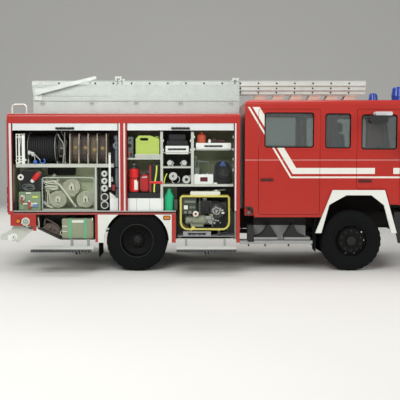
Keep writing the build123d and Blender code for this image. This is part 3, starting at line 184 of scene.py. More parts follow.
def finish(name, shade, **plain):
    """A material by name: shade gives what changes over the surface, plain what is the same all over."""
    if name in FINISHES:
        return FINISHES[name]
    material = bpy.data.materials.new(name)
    material.use_nodes = True
    tree = material.node_tree
    surface = tree.nodes["Principled BSDF"]
    for key, value in plain.items():
        surface.inputs[key.replace("_", " ")].default_value = value
    for key, value in shade(Place(tree)).items():
        if isinstance(value, Wire):
            tree.links.new(value.socket, surface.inputs[key])
        else:
            surface.inputs[key].default_value = value
    FINISHES[name] = material
    return material


def tone(red, green, blue):
    """A colour as a screen shows it, 0 to 255, in the renderer's own numbers."""
    return tuple(((c / 255 + 0.055) / 1.055) ** 2.4 if c > 10 else c / 3294 for c in (red, green, blue)) + (1.0,)


RED, DEEP_RED, STRIPE = tone(173, 27, 12), tone(148, 22, 16), tone(224, 222, 212)


def scaled(colour, factor, more=0.0):
    """A colour made darker or paler."""
    return tuple(min(1.0, c * factor + more) for c in colour[:3]) + (1.0,)


def zone(red, green, blue, ahead=None, **limits):
    """A colour and the limits inside which it lies; ahead is along X from the front axle."""
    if ahead:
        limits = {"x": (FRONT + ahead[0], FRONT + ahead[1]), **limits}
    return tone(red, green, blue), limits


def zoned(place, base, zones):
    """Lays each zone's colour over the base, inside the zone's limits."""
    for colour, limits in zones:
        base = place.mix(place.within(**limits), base, colour)
    return base


def painted(name, colour, worn, roughness=0.3, gloss=0.12, dusty=1.0, shine=0.5, stripes=False, zones=()):
    """Sprayed paint: slow changes of tone, fine orange peel and a little road dust low down; with stripes, also a
    painted highlight along the side's crease.
    """

    def shade(place):
        cloud = place.noise(0.55, 4.0)
        dust = place.noise(0.09, 5.0) * (((1.1 - place.z) | 0.0) * 0.3 + 0.08) * dusty
        base = zoned(place, place.mix(cloud * 0.35, colour, worn), zones)
        if stripes:
            # Painted highlight: a paler line along the side's crease, Z 1.862 to 1.878, and a fainter one just below
            # it.
            crease_highlight = place.within(z=(1.862, 1.878), side=(SIDE - 0.05, 9))
            edge = place.within(z=(1.855, 1.862), side=(SIDE - 0.05, 9))
            base = place.mix(crease_highlight * 0.35 + edge * 0.1, base, tone(236, 190, 180))
            base = place.mix(stripe_share(place), base, STRIPE)
            base = place.mix(rear_corner(place), base, tone(24, 25, 24))
        return {
            "Base Color": place.mix(dust, base, tone(120, 96, 80)), "Roughness": roughness + dust * 0.5,
            "Coat Weight": gloss, "Normal": place.bump(place.noise(0.006, 2.0), 0.00012),
        }

    return finish(name, shade, Specular_IOR_Level=shine)


def stripe_share(place):
    """Two stripes along the cab's side that turn up rearwards at one slant, with a bare place in the wide one."""
    x, z = place.x - FRONT, place.z
    slant = 1.65
    wide = z - 1.638 + (x + 1.0007) * slant
    wide = (wide > 0) * (z > 1.638) * ((z < 1.738) | (wide < 0.194))
    bare = (x > 0.366) * (x < 0.671)
    narrow = z - 1.567 + (x + 1.036) * slant
    narrow = (narrow > 0) * (z > 1.567) * ((z < 1.596) | (narrow < 0.058))
    return (place.side > SIDE - 0.014) * ((wide * (1 - bare)) | narrow)


def rear_corner(place):
    """The black corner behind the crew door's foot: two rectangles and the circle that rounds them."""
    x, z = place.x - FRONT, place.z
    circle = (x + 1.707) * (x + 1.707) + (z - 1.034) * (z - 1.034) < 0.0036
    inside = (x < -1.707) * (z < 1.094) | (x < -1.647) * (z < 1.034) | circle
    return inside * (place.side > SIDE - 0.05)


def metal(name, colour, roughness=0.35, metallic=0.85, grain=0.004, depth=0.0001, checker=False, zones=()):
    """Sheet metal with drawn grain and smudges; checker raises the lozenges of a tread plate."""

    def shade(place):
        smudge = place.noise(0.16, 5.0)
        height = place.noise(grain, 3.0) * 0.3
        base = zoned(place, place.mix(smudge * 0.6, colour, scaled(colour, 0.62)), zones)
        if checker:
            pitch = 0.052
            rows = (place.x + place.z + place.y).wave(pitch) * (place.x - place.z - place.y).wave(pitch * 0.36)
            raised = rows > 0.62
            height = height + raised * 4
            base = place.mix(raised * 0.5, base, scaled(colour, 1.3))
        return {
            "Base Color": base, "Roughness": roughness + smudge * 0.25, "Metallic": metallic,
            "Normal": place.bump(height, 0.0004 if checker else depth),
        }

    return finish(name, shade)


def moulded(name, colour, roughness=0.55, worn=0.25, gloss=0.0, grain=0.0025, shine=0.4, zones=()):
    """Moulded plastic or rubber: a fine leathery grain, and patches rubbed paler."""

    def shade(place):
        cloud = place.noise(0.12, 5.0)
        return {
            "Base Color": zoned(place, place.mix(cloud * worn, colour, scaled(colour, 1.5, 0.02)), zones),
            "Roughness": roughness + cloud * 0.15, "Coat Weight": gloss,
            "Normal": place.bump(place.cells(grain), 0.00015),
        }

    return finish(name, shade, Specular_IOR_Level=shine)


def woven(name, colour, dark, thread=0.0022):
    """Woven cloth: threads over and under, with soiled patches."""

    def shade(place):
        over = (place.x + place.y).wave(thread) * place.z.wave(thread)
        soil = place.noise(0.08, 5.0)
        return {
            "Base Color": place.mix(over * 0.4 + soil * 0.45, colour, dark), "Roughness": 0.85 + soil * 0.1,
            "Normal": place.bump(over + soil, 0.0005),
        }

    return finish(name, shade, Sheen_Weight=0.25)


def glazed(name, colour, roughness=0.03, through=0.75, zones=()):
    """Clear or coloured glass with faint smears."""

    def shade(place):
        smear = place.noise(0.2, 4.0)
        tint = place.mix(smear * 0.15, colour, scaled(colour, 0.8))
        return {"Base Color": zoned(place, tint, zones), "Roughness": roughness + smear * 0.06}

    return finish(name, shade, Transmission_Weight=through, IOR=1.45)


def wooden(name, pale, dark):
    """Sawn boards: growth rings as a noise stretched along the board."""

    def shade(place):
        rings = (place.z * 9 + place.y + place.noise(0.3, 2.0) * 0.05).wave(0.03)
        return {
            "Base Color": place.mix(rings * 0.5 + place.noise(0.05, 4.0) * 0.4, pale, dark), "Roughness": 0.8,
            "Normal": place.bump(rings, 0.0003),
        }

    return finish(name, shade)


PAINTS = {  # colour, worn colour, roughness, gloss, share of dust, shine
    "chassis_paint": (24, 25, 24, 40, 38, 35, 0.7, 0.0, 0.3, 0.2),
    "rim_paint": (6, 8, 7, 14, 16, 14, 0.55, 0.02, 0.03, 0.14),
    "worn_rim": (24, 25, 24, 38, 38, 37, 0.5, 0.02, 0.05, 0.25),
    "white_paint": (226, 228, 220, 196, 198, 186, 0.38, 0.3),
    "pale_enamel": (228, 230, 218, 192, 192, 176, 0.4, 0.2),
    "bright_red": (206, 30, 30, 160, 22, 26, 0.4),
    "dark_red": (140, 30, 30, 96, 20, 22, 0.5, 0.1),
    "dull_red": (172, 62, 52, 128, 44, 40, 0.5, 0.1),
    "bright_blue": (40, 96, 176, 26, 66, 130, 0.4, 0.2),
    "dull_blue": (96, 128, 168, 70, 96, 130, 0.5, 0.1),
    "white_box": (226, 230, 224, 194, 198, 190, 0.42, 0.15),
    "cream_box": (222, 224, 204, 190, 190, 168, 0.5, 0.1),
    "grey_case": (88, 96, 90, 58, 64, 60, 0.5, 0.1),
    "khaki_case": (146, 154, 124, 112, 118, 94, 0.55, 0.05),
    "pump_green": (122, 144, 110, 90, 110, 84, 0.5, 0.1),
    "panel_grey": (56, 64, 52, 34, 40, 32, 0.5, 0.15),
    "gauge_grey": (112, 120, 104, 74, 82, 70, 0.45),
    "navy": (38, 70, 122, 28, 50, 90, 0.5, 0.1),
    "lime_plate": (214, 226, 66, 178, 190, 50, 0.45, 0.1),
}
METALS = {  # colour, roughness, share of metal, grain and its depth
    "ladder_alloy": (212, 217, 209, 0.42, 0.55),
    "clamp_steel": (172, 176, 168, 0.5, 0.2),
    "worn_steel": (158, 160, 152, 0.5, 0.6, 0.003),
    "rusty_steel": (92, 84, 76, 0.6, 0.4, 0.003),
    "brown_steel": (104, 92, 82, 0.6, 0.3, 0.003),
    "brass": (150, 132, 88, 0.4, 0.8),
    "white_cast": (208, 211, 204, 0.45, 0.4, 0.002, 0.0003),
    "mirror_glass": (188, 196, 200, 0.04, 1.0),
    "alternator_grey": (150, 155, 134, 0.45, 0.35),
    "cast_alloy": (168, 170, 164, 0.48, 0.55, 0.002, 0.0004),
    "shelf_metal": (196, 200, 188, 0.45, 0.3),
    "generator_tray": (158, 158, 160, 0.45, 0.35),
}
MOULDINGS = {  # colour, roughness, share rubbed pale, gloss, grain, shine
    "lime_canister": (164, 184, 84, 0.45, 0.1),
    "green_canister": (28, 168, 116, 0.4, 0.1),
    "orange_can": (180, 76, 48, 0.45, 0.1),
    "cap_green": (150, 164, 150, 0.5, 0.1),
    "dark_red_glass": (86, 26, 30, 0.15, 0.1, 0.4),
    "black_plastic": (24, 25, 24, 0.55, 0.15),
    "rubber": (12, 14, 13, 0.85, 0.06, 0.0, 0.004, 0.15),
    "reel_hose": (17, 19, 18, 0.6, 0.15, 0.0, 0.004),
}
CLOTHS = {  # colour, dark colour, thread
    "roll_red": (84, 26, 28, 48, 18, 20),
    "teal_strap": (104, 190, 146, 62, 138, 100),
    "rack_hose_beige": (112, 98, 78, 30, 23, 18),
    "rack_hose_mauve": (88, 74, 66, 26, 20, 18),
    "pale_hose": (206, 210, 186, 150, 154, 130),
    "coil_hub": (200, 204, 184, 160, 164, 142),
    "dark_webbing": (48, 42, 38, 26, 24, 22),
    "black_cloth": (20, 21, 20, 12, 12, 12, 0.003),
    "brown_cloth": (58, 44, 40, 32, 26, 24, 0.003),
    "red_bag": (190, 34, 36, 120, 20, 24, 0.003),
    "seat_cloth": (62, 64, 68, 36, 38, 42, 0.003),
}
for maker, rows, colours in ((painted, PAINTS, 2), (metal, METALS, 1), (moulded, MOULDINGS, 1), (woven, CLOTHS, 2)):
    for name, row in rows.items():
        maker(name, *(tone(*row[3 * i:3 * i + 3]) for i in range(colours)), *row[3 * colours:])

painted("red_paint", RED, DEEP_RED)
painted("striped_red_paint", RED, DEEP_RED, stripes=True)
painted("striped_doors", RED, DEEP_RED, stripes=True, zones=(
    zone(24, 25, 24, side=(SIDE + 0.010, 9), z=(1.48, 1.60)),))
painted("frame_yellow", tone(214, 203, 98), tone(190, 176, 76), 0.35, zones=(zone(40, 40, 36, z=(0, 0.6835)),))
# Locker walls: the paler base colour and most zones are painted light and shade. The pale zones light the deep walls,
# the near-black ones shade the upper and middle bays, and the brown ones shade the bay behind the generator and the
# gap to the cab. The last zone is the rear wall's own red.
painted("locker_paint_and_painted_light", tone(176, 186, 156), tone(148, 158, 130), 0.5, 0.1, zones=(
    zone(238, 248, 208, (-5.6, -4.25), z=(1.03, 1.795)), zone(30, 31, 27, (-5.74, -3.9), z=(1.795, 2.5)),
    zone(26, 27, 24, (-4.25, -3.9), z=(1.03, 1.795)), zone(206, 216, 172, (-3.76, -3.18), z=(1.32, 1.94)),
    zone(26, 27, 24, (-3.18, -2.70), z=(1.46, 2.5)), zone(150, 161, 122, (-2.68, -1.98), z=(1.46, 2.5)),
    zone(40, 28, 24, (-2.94, -1.95), z=(0.9, 1.425)), zone(106, 88, 68, x=(BODY_FRONT - 0.065, 9)),
    zone(176, 30, 20, x=(-99, BODY_BACK + 0.055))))
painted("liner_paint", tone(84, 90, 80), tone(58, 62, 56), 0.5, 0.1, zones=(
    zone(224, 228, 222, (-4.06, -3.14), z=(1.020, 1.3)),
    *(zone(84, 90, 84, (x - 0.002, x + 0.002), z=(1.020, 1.3)) for x in (-3.602, -3.384, -3.175))))
painted("floor_paint", tone(96, 104, 92), tone(66, 72, 62), 0.5, 0.1, zones=(
    zone(206, 210, 200, side=(SIDE - 0.06, 9), z=(1.012, 9)),
    zone(40, 34, 32, side=(SIDE - 0.004, 9), z=(0.992, 1.012)),
    zone(150, 62, 54, side=(SIDE - 0.004, 9), z=(0, 0.992))))
metal("tread_plate", tone(194, 200, 192), metallic=0.45, checker=True)
metal("shutter_alloy", tone(222, 225, 222), 0.34, 0.4, zones=[
    zone(26, 27, 26, ahead, y=(-9, -SIDE + 0.001), z=(2.366, 2.420)) for ahead in ((-4.95, -4.60), (-3.03, -2.69))])
metal("step_metal", tone(166, 168, 164), 0.5, 0.5, checker=True, zones=(
    zone(204, 208, 196, (-99, -5.25), z=(0, 0.90)),
    zone(236, 238, 230, (-5.76, -5.60), z=(0.49, 0.645), side=(1.1425, 9)),
    zone(18, 19, 18, (-1.745, -1.635), z=(0.5, 0.78)),
    zone(12, 13, 12, (-1.66, 9), z=(0.752, 1.10), side=(0, SIDE - 0.010)),
    zone(224, 228, 218, z=(2.60, 9)), zone(40, 41, 40, (-1.8, 9), z=(0, 0.487), side=(0, SIDE - 0.028))))
# The flaps' near-black outer edge is painted shade under the lip.
metal("flap_metal_and_painted_shade", tone(238, 243, 232), 0.45, 0.15, checker=True, zones=(
    zone(16, 18, 16, side=(SIDE + 0.408, 9)), zone(58, 60, 56, z=(0.436, 9))))
metal("shelves", tone(196, 200, 188), 0.45, 0.3, zones=(zone(30, 30, 30, (-3.76, -3.2005), z=(1.2285, 1.3205)),))
metal("fittings", tone(186, 190, 180), 0.48, 0.4, 0.002, 0.0003, zones=(
    zone(214, 206, 188, (-4.76, -4.08), z=(1.80, 2.34)), zone(226, 230, 220, (-5.66, -5.42), z=(1.80, 2.34)),
    zone(128, 138, 146, (-4.00, -3.90), z=(1.229, 2.36)), zone(220, 224, 214, (-4.066, -4.018), z=(1.40, 1.95)),
    zone(64, 62, 58, (-4.95, -4.75), z=(1.84, 2.34)), zone(182, 190, 172, (-5.17, -4.25), z=(1.02, 1.60))))
metal("engine", tone(58, 60, 56), 0.5, 0.3, 0.002, 0.0004, zones=(
    zone(150, 155, 134, (-2.80, -2.325), z=(0.735, 0.952)), zone(56, 64, 52, (-2.85, -2.598), z=(0.954, 1.25)),
    zone(40, 42, 38, (-2.585, -2.32), z=(0.96, 1.182)), zone(170, 170, 160, (-2.50, -2.42), z=(1.182, 1.23)),
    zone(222, 224, 204, (-2.75, -2.18), z=(1.2745, 1.35))))
moulded("canisters", tone(168, 188, 86), 0.45, 0.1, zones=(
    zone(28, 168, 116, (-3.16, -2.94), z=(1.0, 1.45)), zone(180, 76, 48, (-2.62, -2.40), z=(2.05, 2.45)),
    zone(206, 26, 28, (-3.75, -3.54), z=(1.30, 1.72)), zone(44, 44, 44, (-3.75, -3.54), z=(1.72, 1.87)),
    zone(150, 150, 146, (-3.665, -3.620), z=(1.74, 1.80)), zone(168, 172, 166, (-3.12, -2.70), z=(1.46, 1.98))))
moulded("kerb_mirror", tone(24, 25, 25), zones=(zone(190, 190, 188, z=(2.600, 9)),))
glazed("clear_glass", tone(198, 207, 204), through=0.92)
glazed("lamp_glass", tone(214, 220, 220), 0.12, 0.3, zones=(
    zone(38, 70, 168, z=(2.75, 9)), zone(236, 140, 40, side=(SIDE - 0.02, 9), z=(0.80, 1.45)),
    zone(170, 24, 26, x=(-99, BODY_BACK + 0.10), z=(0.3, 2.6))))
wooden("bare_wood", tone(222, 198, 182), tone(186, 152, 136))

NODES_OF = {
    "chassis_paint": "axles chassis_frame driveline leaf_springs knuckle_right knuckle_left tow_jaw",
    "black_plastic": "tank_boxes bumper cab_interior cases chocks mirrors",
    "floor_paint": "body_floor", "liner_paint": "lower_lockers", "locker_paint_and_painted_light": "locker_walls",
    "shelves": "shelves", "red_paint": "body_roof body_sides cab_roof cab_shell", "striped_red_paint": "cab_sides",
    "clear_glass": "cab_glazing glass_crew_right glass_crew_left glass_front_right glass_front_left",
    "canisters": "canisters", "fittings": "fittings", "tread_plate": "gallery", "engine": "generator_engine",
    "frame_yellow": "generator_frame", "generator_tray": "generator_tray",
    "rubber": "hose_reel hoses mudflaps tyre_front_right tyre_front_left tyres_rear_right tyres_rear_left",
    "kerb_mirror": "kerb_mirror", "ladder_alloy": "ladder ladder_arm ladder_brackets", "lamp_glass": "lamps",
    "shutter_alloy": "shutters", "step_metal": "steps", "white_paint": "wheel_arches",
    "striped_doors": "door_crew_right door_crew_left door_front_right door_front_left",
    "flap_metal_and_painted_shade": "flap_rear_right flap_rear_left flap_front_right flap_front_left",
    "rim_paint": "rim_front_right rim_front_left rims_rear_right rims_rear_left",
}
for look, names in NODES_OF.items():
    for name in names.split():
        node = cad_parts[name]
        node.data.materials.clear()
        node.data.materials.append(FINISHES[look])

LOOKS_IN = {  # the slot named for each look, unless a piece names another one
    "aluminium": "ladder_alloy", "black_plastic": "black_plastic seat_cloth", "chassis_grey": "chassis_paint",
    "canister": "cap_green green_canister lime_canister lime_plate orange_can",
    "case_plastic": "bright_blue bright_red cream_box dark_red dark_red_glass dull_blue dull_red grey_case "
                    "khaki_case navy panel_grey pump_green red_bag roll_red white_box",
    "engine_grey": "alternator_grey gauge_grey", "fitting_metal": "brass brown_steel cast_alloy white_cast",
    "generator_yellow": "frame_yellow", "glass": "mirror_glass",
    "hose_cloth": "black_cloth brown_cloth coil_hub dark_webbing pale_hose rack_hose_beige rack_hose_mauve "
                  "teal_strap",
    "hose_rubber": "reel_hose", "locker_sheet": "bare_wood shelf_metal", "rubber": "rubber",
    "step_metal": "clamp_steel rusty_steel worn_rim worn_steel", "white_paint": "pale_enamel",
}
SLOT_OF = {look: slot for slot, looks in LOOKS_IN.items() for look in looks.split()}


# Surfaces: point grids worked out with numpy

def around(count):
    """Even angles, once round."""
    return np.linspace(0, 2 * pi, count, endpoint=False)


def points_at(*coordinates):
    """Points from their coordinates, each a number or an array."""
    return np.stack(np.broadcast_arrays(*coordinates), axis=-1)


class Shape:
    """Grids of points that together make one piece's mesh."""

    def __init__(self):
        self.points, self.faces, self.total = [], [], 0

    def grid(self, points, wrap=True, loop=False):
        """Adds a grid of rows by columns. wrap joins the last column to the first, and loop the last row to the
        first; the two end rows of a wrapped grid without loop are closed by flat faces. A closed grid's faces
        are turned outwards by the sign of the volume that they enclose."""
        rows, columns = points.shape[:2]
        index = np.arange(rows * columns).reshape(rows, columns)
        ends = [index[0, ::-1], index[-1]] if wrap and not loop else []
        if loop:
            index = np.vstack([index, index[:1]])
        if wrap:
            index = np.hstack([index, index[:, :1]])
        quads = np.stack([index[:-1, :-1], index[:-1, 1:], index[1:, 1:], index[1:, :-1]], axis=-1).reshape(-1, 4)
        flat = points.reshape(-1, 3)
        triangles = [quads[:, :3], quads[:, (0, 2, 3)]]
        triangles += [np.stack([np.full(len(end) - 2, end[0]), end[1:-1], end[2:]], axis=-1) for end in ends]
        a, b, c = (flat[np.concatenate(triangles)[:, i]] for i in range(3))
        if wrap and np.sum(a * np.cross(b, c)) < 0:
            quads, ends = quads[:, ::-1], [end[::-1] for end in ends]
        self.points.append(flat)
        self.faces += (quads + self.total).tolist() + [(end + self.total).tolist() for end in ends]
        self.total += len(flat)
        return self

    def sweep(self, path, profile, loop=False, up=LEFT):
        """Carries a closed profile along a path: point = path + across * u + over * v, where across is the
        path's direction crossed with up, and over is across crossed with the direction."""
        path = np.asarray(path, float)
        if loop:
            ahead = np.roll(path, -1, axis=0) - np.roll(path, 1, axis=0)
        else:
            ahead = np.gradient(path, axis=0)
        ahead /= np.linalg.norm(ahead, axis=1)[:, None]
        across = np.cross(ahead, up)
        across /= np.linalg.norm(across, axis=1)[:, None]
        over = np.cross(across, ahead)
        profile = np.asarray(profile, float)
        points = (path[:, None] + across[:, None] * profile[None, :, :1] + over[:, None] * profile[None, :, 1:])
        return self.grid(points, loop=loop)

    def tube(self, path, radius, sides=10, loop=False, up=LEFT):
        """A round bar along a path, its radius in millimetres."""
        turn = around(sides)
        return self.sweep(path, points_at(np.cos(turn), np.sin(turn)) * radius / 1000, loop, up)

    def lathe(self, origin, axis, profile, turns=40, loop=False):
        """Turns a profile about an axis: it lists distance along the axis and radius, in turn, in millimetres."""
        axis = np.asarray(axis, float)
        axis = axis / np.linalg.norm(axis)
        first = np.cross((0.0, 0.0, 1.0) if abs(axis[2]) < 0.5 else (1.0, 0.0, 0.0), axis)
        first /= np.linalg.norm(first)
        second = np.cross(axis, first)
        turn = around(turns)
        ring = first * np.cos(turn)[:, None] + second * np.sin(turn)[:, None]
        profile = np.reshape(profile, (-1, 2)) / 1000
        points = (np.asarray(origin, float) + axis * profile[:, :1])[:, None] + ring[None] * profile[:, 1:, None]
        return self.grid(points, loop=loop)

    def slab(self, outline, low, high, across="y", edge=0.003, steps=3):
        """A plate from low to high across an axis: its outline is drawn in by edge * (1 - sin t) while the level
        moves by edge * (1 - cos t), so that both rims are round."""
        outline = np.asarray(outline, float)
        before, after = np.roll(outline, 1, axis=0), np.roll(outline, -1, axis=0)
        area = np.sum(outline[:, 0] * after[:, 1] - after[:, 0] * outline[:, 1])
        lean = after - before
        normal = points_at(lean[:, 1], -lean[:, 0]) * np.sign(area)
        normal /= np.linalg.norm(normal, axis=1)[:, None] + 1e-12
        t = np.linspace(0, pi / 2, steps + 1)
        inset = edge * (1 - np.sin(t))
        level = low + edge * (1 - np.cos(t))
        inset, level = np.concatenate([inset, inset[::-1]]), np.concatenate([level, (low + high - level)[::-1]])
        flat = outline[None] - normal[None] * inset[:, None, None]
        depth = np.broadcast_to(level[:, None], flat.shape[:2])
        first, second = flat[..., 0], flat[..., 1]
        order = {"x": (depth, first, second), "y": (first, depth, second), "z": (first, second, depth)}[across]
        return self.grid(np.stack(order, axis=-1))

    def soft(self, low, high, power=3.5, rows=28, columns=48, sag=0.0, wrinkle=0.0, seed=1.0):
        """A stuffed form between two corners: a sphere's angles, each sine and cosine raised to 2 / power, give a
        rounded box; sag widens it towards its foot and wrinkle adds crossing sine waves to its skin."""
        tilt = np.linspace(-pi / 2, pi / 2, rows)[:, None]
        turn = around(columns)[None]

        def bend(value):
            return np.sign(value) * np.abs(value) ** (2 / power)

        low, high = np.asarray(low, float), np.asarray(high, float)
        x = bend(np.cos(tilt)) * bend(np.cos(turn))
        y = bend(np.cos(tilt)) * bend(np.sin(turn))
        z = bend(np.sin(tilt)) + 0 * turn
        wide = 1 + sag * (-z) * (1 - z * z)
        skin = 1 + wrinkle * (np.sin(9 * x * seed + 5 * z) * np.sin(7 * y + 8 * z * seed) - 1)
        points = points_at(x * wide * skin, y * wide * skin, z * skin)
        return self.grid((low + high) / 2 + points[1:-1] * (high - low) / 2)


def rounded(x0, x1, z0, z1, radius, steps=5):
    """A rectangle's outline with quarter circles for corners."""
    t = np.linspace(0, pi / 2, steps + 1)
    corners = ((x1 - radius, z1 - radius, 0), (x0 + radius, z1 - radius, pi / 2), (x0 + radius, z0 + radius, pi),
        (x1 - radius, z0 + radius, 1.5 * pi))
    quarters = [points_at(x + radius * np.cos(t + turn), z + radius * np.sin(t + turn)) for x, z, turn in corners]
    return np.concatenate(quarters)


def bent(points, radius, steps=6):
    """A run of points with each inner corner rounded: the corner's arc is the curve a (1-t)^2 + 2 b t (1-t) + c t^2
    between two points a bend's radius, in millimetres, before and after it."""
    points, radius = np.asarray(points, float), radius / 1000
    path = [points[:1]]
    t = np.linspace(0, 1, steps)[:, None]
    for before, here, after in zip(points, points[1:], points[2:]):
        a = here + (before - here) / np.linalg.norm(before - here) * radius
        c = here + (after - here) / np.linalg.norm(after - here) * radius
        path.append(a * (1 - t) ** 2 + 2 * here * t * (1 - t) + c * t ** 2)
    return np.concatenate(path + [points[-1:]])


def oblong(width, height, bend=None):
    """A small rounded rectangle's profile for sweeping, in millimetres."""
    bend = bend or min(width, height) * 0.3
    return rounded(-width / 2, width / 2, -height / 2, height / 2, bend, steps=2) / 1000


def placed(name, data):
    """Puts an object of some data into the scene."""
    made = bpy.data.objects.new(name, data)
    bpy.context.collection.objects.link(made)
    return made


def piece(name, shape, look, body="vehicle", replaces=(), slot=None):
    """Makes an object of a shape, riding on a body."""
    mesh = bpy.data.meshes.new(name)
    mesh.from_pydata(np.concatenate(shape.points).tolist(), [], shape.faces)
    mesh.polygons.foreach_set("use_smooth", [True] * len(mesh.polygons))
    mesh.set_sharp_from_angle(angle=radians(35))
    mesh.materials.append(FINISHES[look])
    made = placed(name, mesh)
    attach(made, body)
    if replaces:
        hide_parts(*replaces)
    slot = slot or SLOT_OF[look]
    return made


# Running gear

TYRE_HALF = np.array([  # share of the half width, radius
    (0.70, 0.2858), (0.80, 0.292), (0.86, 0.318), (0.93, 0.345), (0.985, 0.372), (1.0, 0.402), (0.992, 0.436),
    (0.955, 0.462), (0.945, 0.478), (0.93, 0.484), (0.88, 0.500), (0.80, 0.5065), (0.55, 0.5092), (0.0, 0.510),
])


def tyre(shape, x, y, width, turns=240, steps=64):
    """A tyre turned about its hub: radius and distance across come from the half outline and its mirror image.
    The tread sinks by 9 mm times a slanting wave round its shoulders, cut off at 0 and 1, and in three bands."""
    half = np.concatenate([TYRE_HALF, TYRE_HALF[-2::-1] * (-1, 1)])
    run = np.concatenate([[0], np.cumsum(np.hypot(*(np.diff(half, axis=0) * (width / 2, 1)).T))])
    at = np.linspace(0, run[-1], steps)
    across, radius = np.interp(at, run, half[:, 0]), np.interp(at, run, half[:, 1])
    turn = around(turns)[:, None]
    tread = radius > 0.4995
    slot = np.clip(2.5 * np.sin(30 * turn + 5 * across), 0, 1) * (np.abs(across) > 0.42)
    band = (np.abs(np.abs(across) - 0.32) < 0.05) | (np.abs(across) < 0.03)
    radius = radius - tread * np.maximum(slot, band) * 0.009
    inner = points_at(np.linspace(-0.70, 0.70, 6)[1:-1], np.full(4, 0.2858))
    across = np.concatenate([across, inner[:, 0]])[None] + 0 * turn
    radius = np.concatenate([radius, np.broadcast_to(inner[:, 1], (turns, 4))], axis=1)
    points = points_at(x + radius * np.cos(turn), y + across * width / 2, HUB + radius * np.sin(turn))
    return shape.grid(points, wrap=True, loop=True)


def ring_of_nuts(shape, x, y, z, radius, count, size, height, side):
    """Hexagon nuts on studs, at even angles on a ring that faces out; size and height are millimetres."""
    for turn in around(count) + 0.3:
        at = (x + radius * cos(turn), y, z + radius * sin(turn))
        nut = (0, size * 1.3, 3, size * 1.3, 3, size, height, size, height + 2, size * 0.8)
        shape.lathe(at, (0, side, 0), nut, turns=6)
        shape.lathe(at, (0, side, 0), (height, size * 0.5, height + 12, size * 0.45), turns=8)
    return shape


for name, side in SIDES:
    front_y, rear_y = middle(f"tyre_front_{name}", 1), middle(f"tyres_rear_{name}", 1)
    wide = corner(f"tyre_front_{name}", 1, 1) - corner(f"tyre_front_{name}", 0, 1)
    piece(f"front_tyre_tread_{name}", tyre(Shape(), FRONT, front_y, wide), "rubber", f"front_wheel_{name}",
        [f"tyre_front_{name}"], "tyre_rubber")
    pair = Shape()
    for outward in (0.1525, -0.1525):
        tyre(pair, REAR, rear_y + outward, 0.255)
    piece(f"rear_tyre_treads_{name}", pair, "rubber", f"rear_wheels_{name}", [f"tyres_rear_{name}"], "tyre_rubber")
    face = front_y + side * 0.112
    nuts = ring_of_nuts(Shape(), FRONT, face, HUB, 0.167, 10, 17, 18, side)
    nuts.lathe((FRONT, front_y + side * 0.150, HUB), (0, side, 0), (0, 78, 4, 76, 6, 50, 10, 48, 12, 30))
    piece(f"front_wheel_nuts_{name}", nuts, "worn_rim", f"front_wheel_{name}")
    outer_y = rear_y + side * 0.1525
    hub = ring_of_nuts(Shape(), REAR, outer_y - side * 0.118, HUB, 0.137, 10, 14, 16, side)
    ring_of_nuts(hub, REAR, outer_y - side * 0.060, HUB, 0.088, 8, 8, 6, side)
    hub.lathe((REAR, outer_y - side * 0.060, HUB), (0, side, 0), (0, 62, 10, 60, 14, 46, 16, 20))
    piece(f"rear_wheel_nuts_{name}", hub, "worn_rim", f"rear_wheels_{name}")
    bead = Shape().lathe((REAR, outer_y + side * 0.095, HUB), (0, side, 0), (0, 285, 5, 285, 7, 278, 5, 270, 0, 270),
        96, loop=True)
    piece(f"rear_rim_bead_{name}", bead, "worn_rim", f"rear_wheels_{name}", slot="rim_paint")


# Cab

def window_seal(shape, x0, x1, z0, z1, side):
    """A rubber strip round a window, its section carried along a rounded rectangle."""
    outline = rounded(x0 + 0.004, x1 - 0.004, z0 + 0.004, z1 - 0.004, 0.042, steps=6)
    path = points_at(outline[:, 0], side * (SIDE - 0.006), outline[:, 1])
    return shape.sweep(path, oblong(22, 30), loop=True, up=(0, side, 0))


for name, side in SIDES:
    for door in ("crew", "front"):
        low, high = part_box(f"glass_{door}_{name}")
        piece(f"{door}_window_seal_{name}", window_seal(Shape(), low[0], high[0], low[2], high[2], side), "rubber",
            f"{door}_door_{name}")
        x, z = (FRONT - 1.349, 1.542) if door == "crew" else (FRONT + 0.281, 1.523)
        lock = Shape().lathe((x, side * (SIDE + 0.006), z), (0, side, 0), (-10, 13, 6, 13, 9, 10), 20)
        piece(f"{door}_handle_lock_{name}", lock, "worn_steel", f"{door}_door_{name}")
middle_seals = Shape()
for name, side in SIDES:
    window_seal(middle_seals, FRONT - 0.465, FRONT - 0.042, 2.064, 2.637, side)
piece("middle_window_seals", middle_seals, "rubber")

# Windscreen: seal, wipers, mirror glasses and the grille's mesh
LEAN = atan2(0.150, 0.994)


def on_screen(y, up, proud=0.0):
    """A point of the windscreen's plane: y across, and up along its slope from the foot at Z 1.75."""
    return np.array([CAB_FRONT - up * sin(LEAN) + proud * cos(LEAN), y, 1.75 + up * cos(LEAN) + proud * sin(LEAN)])


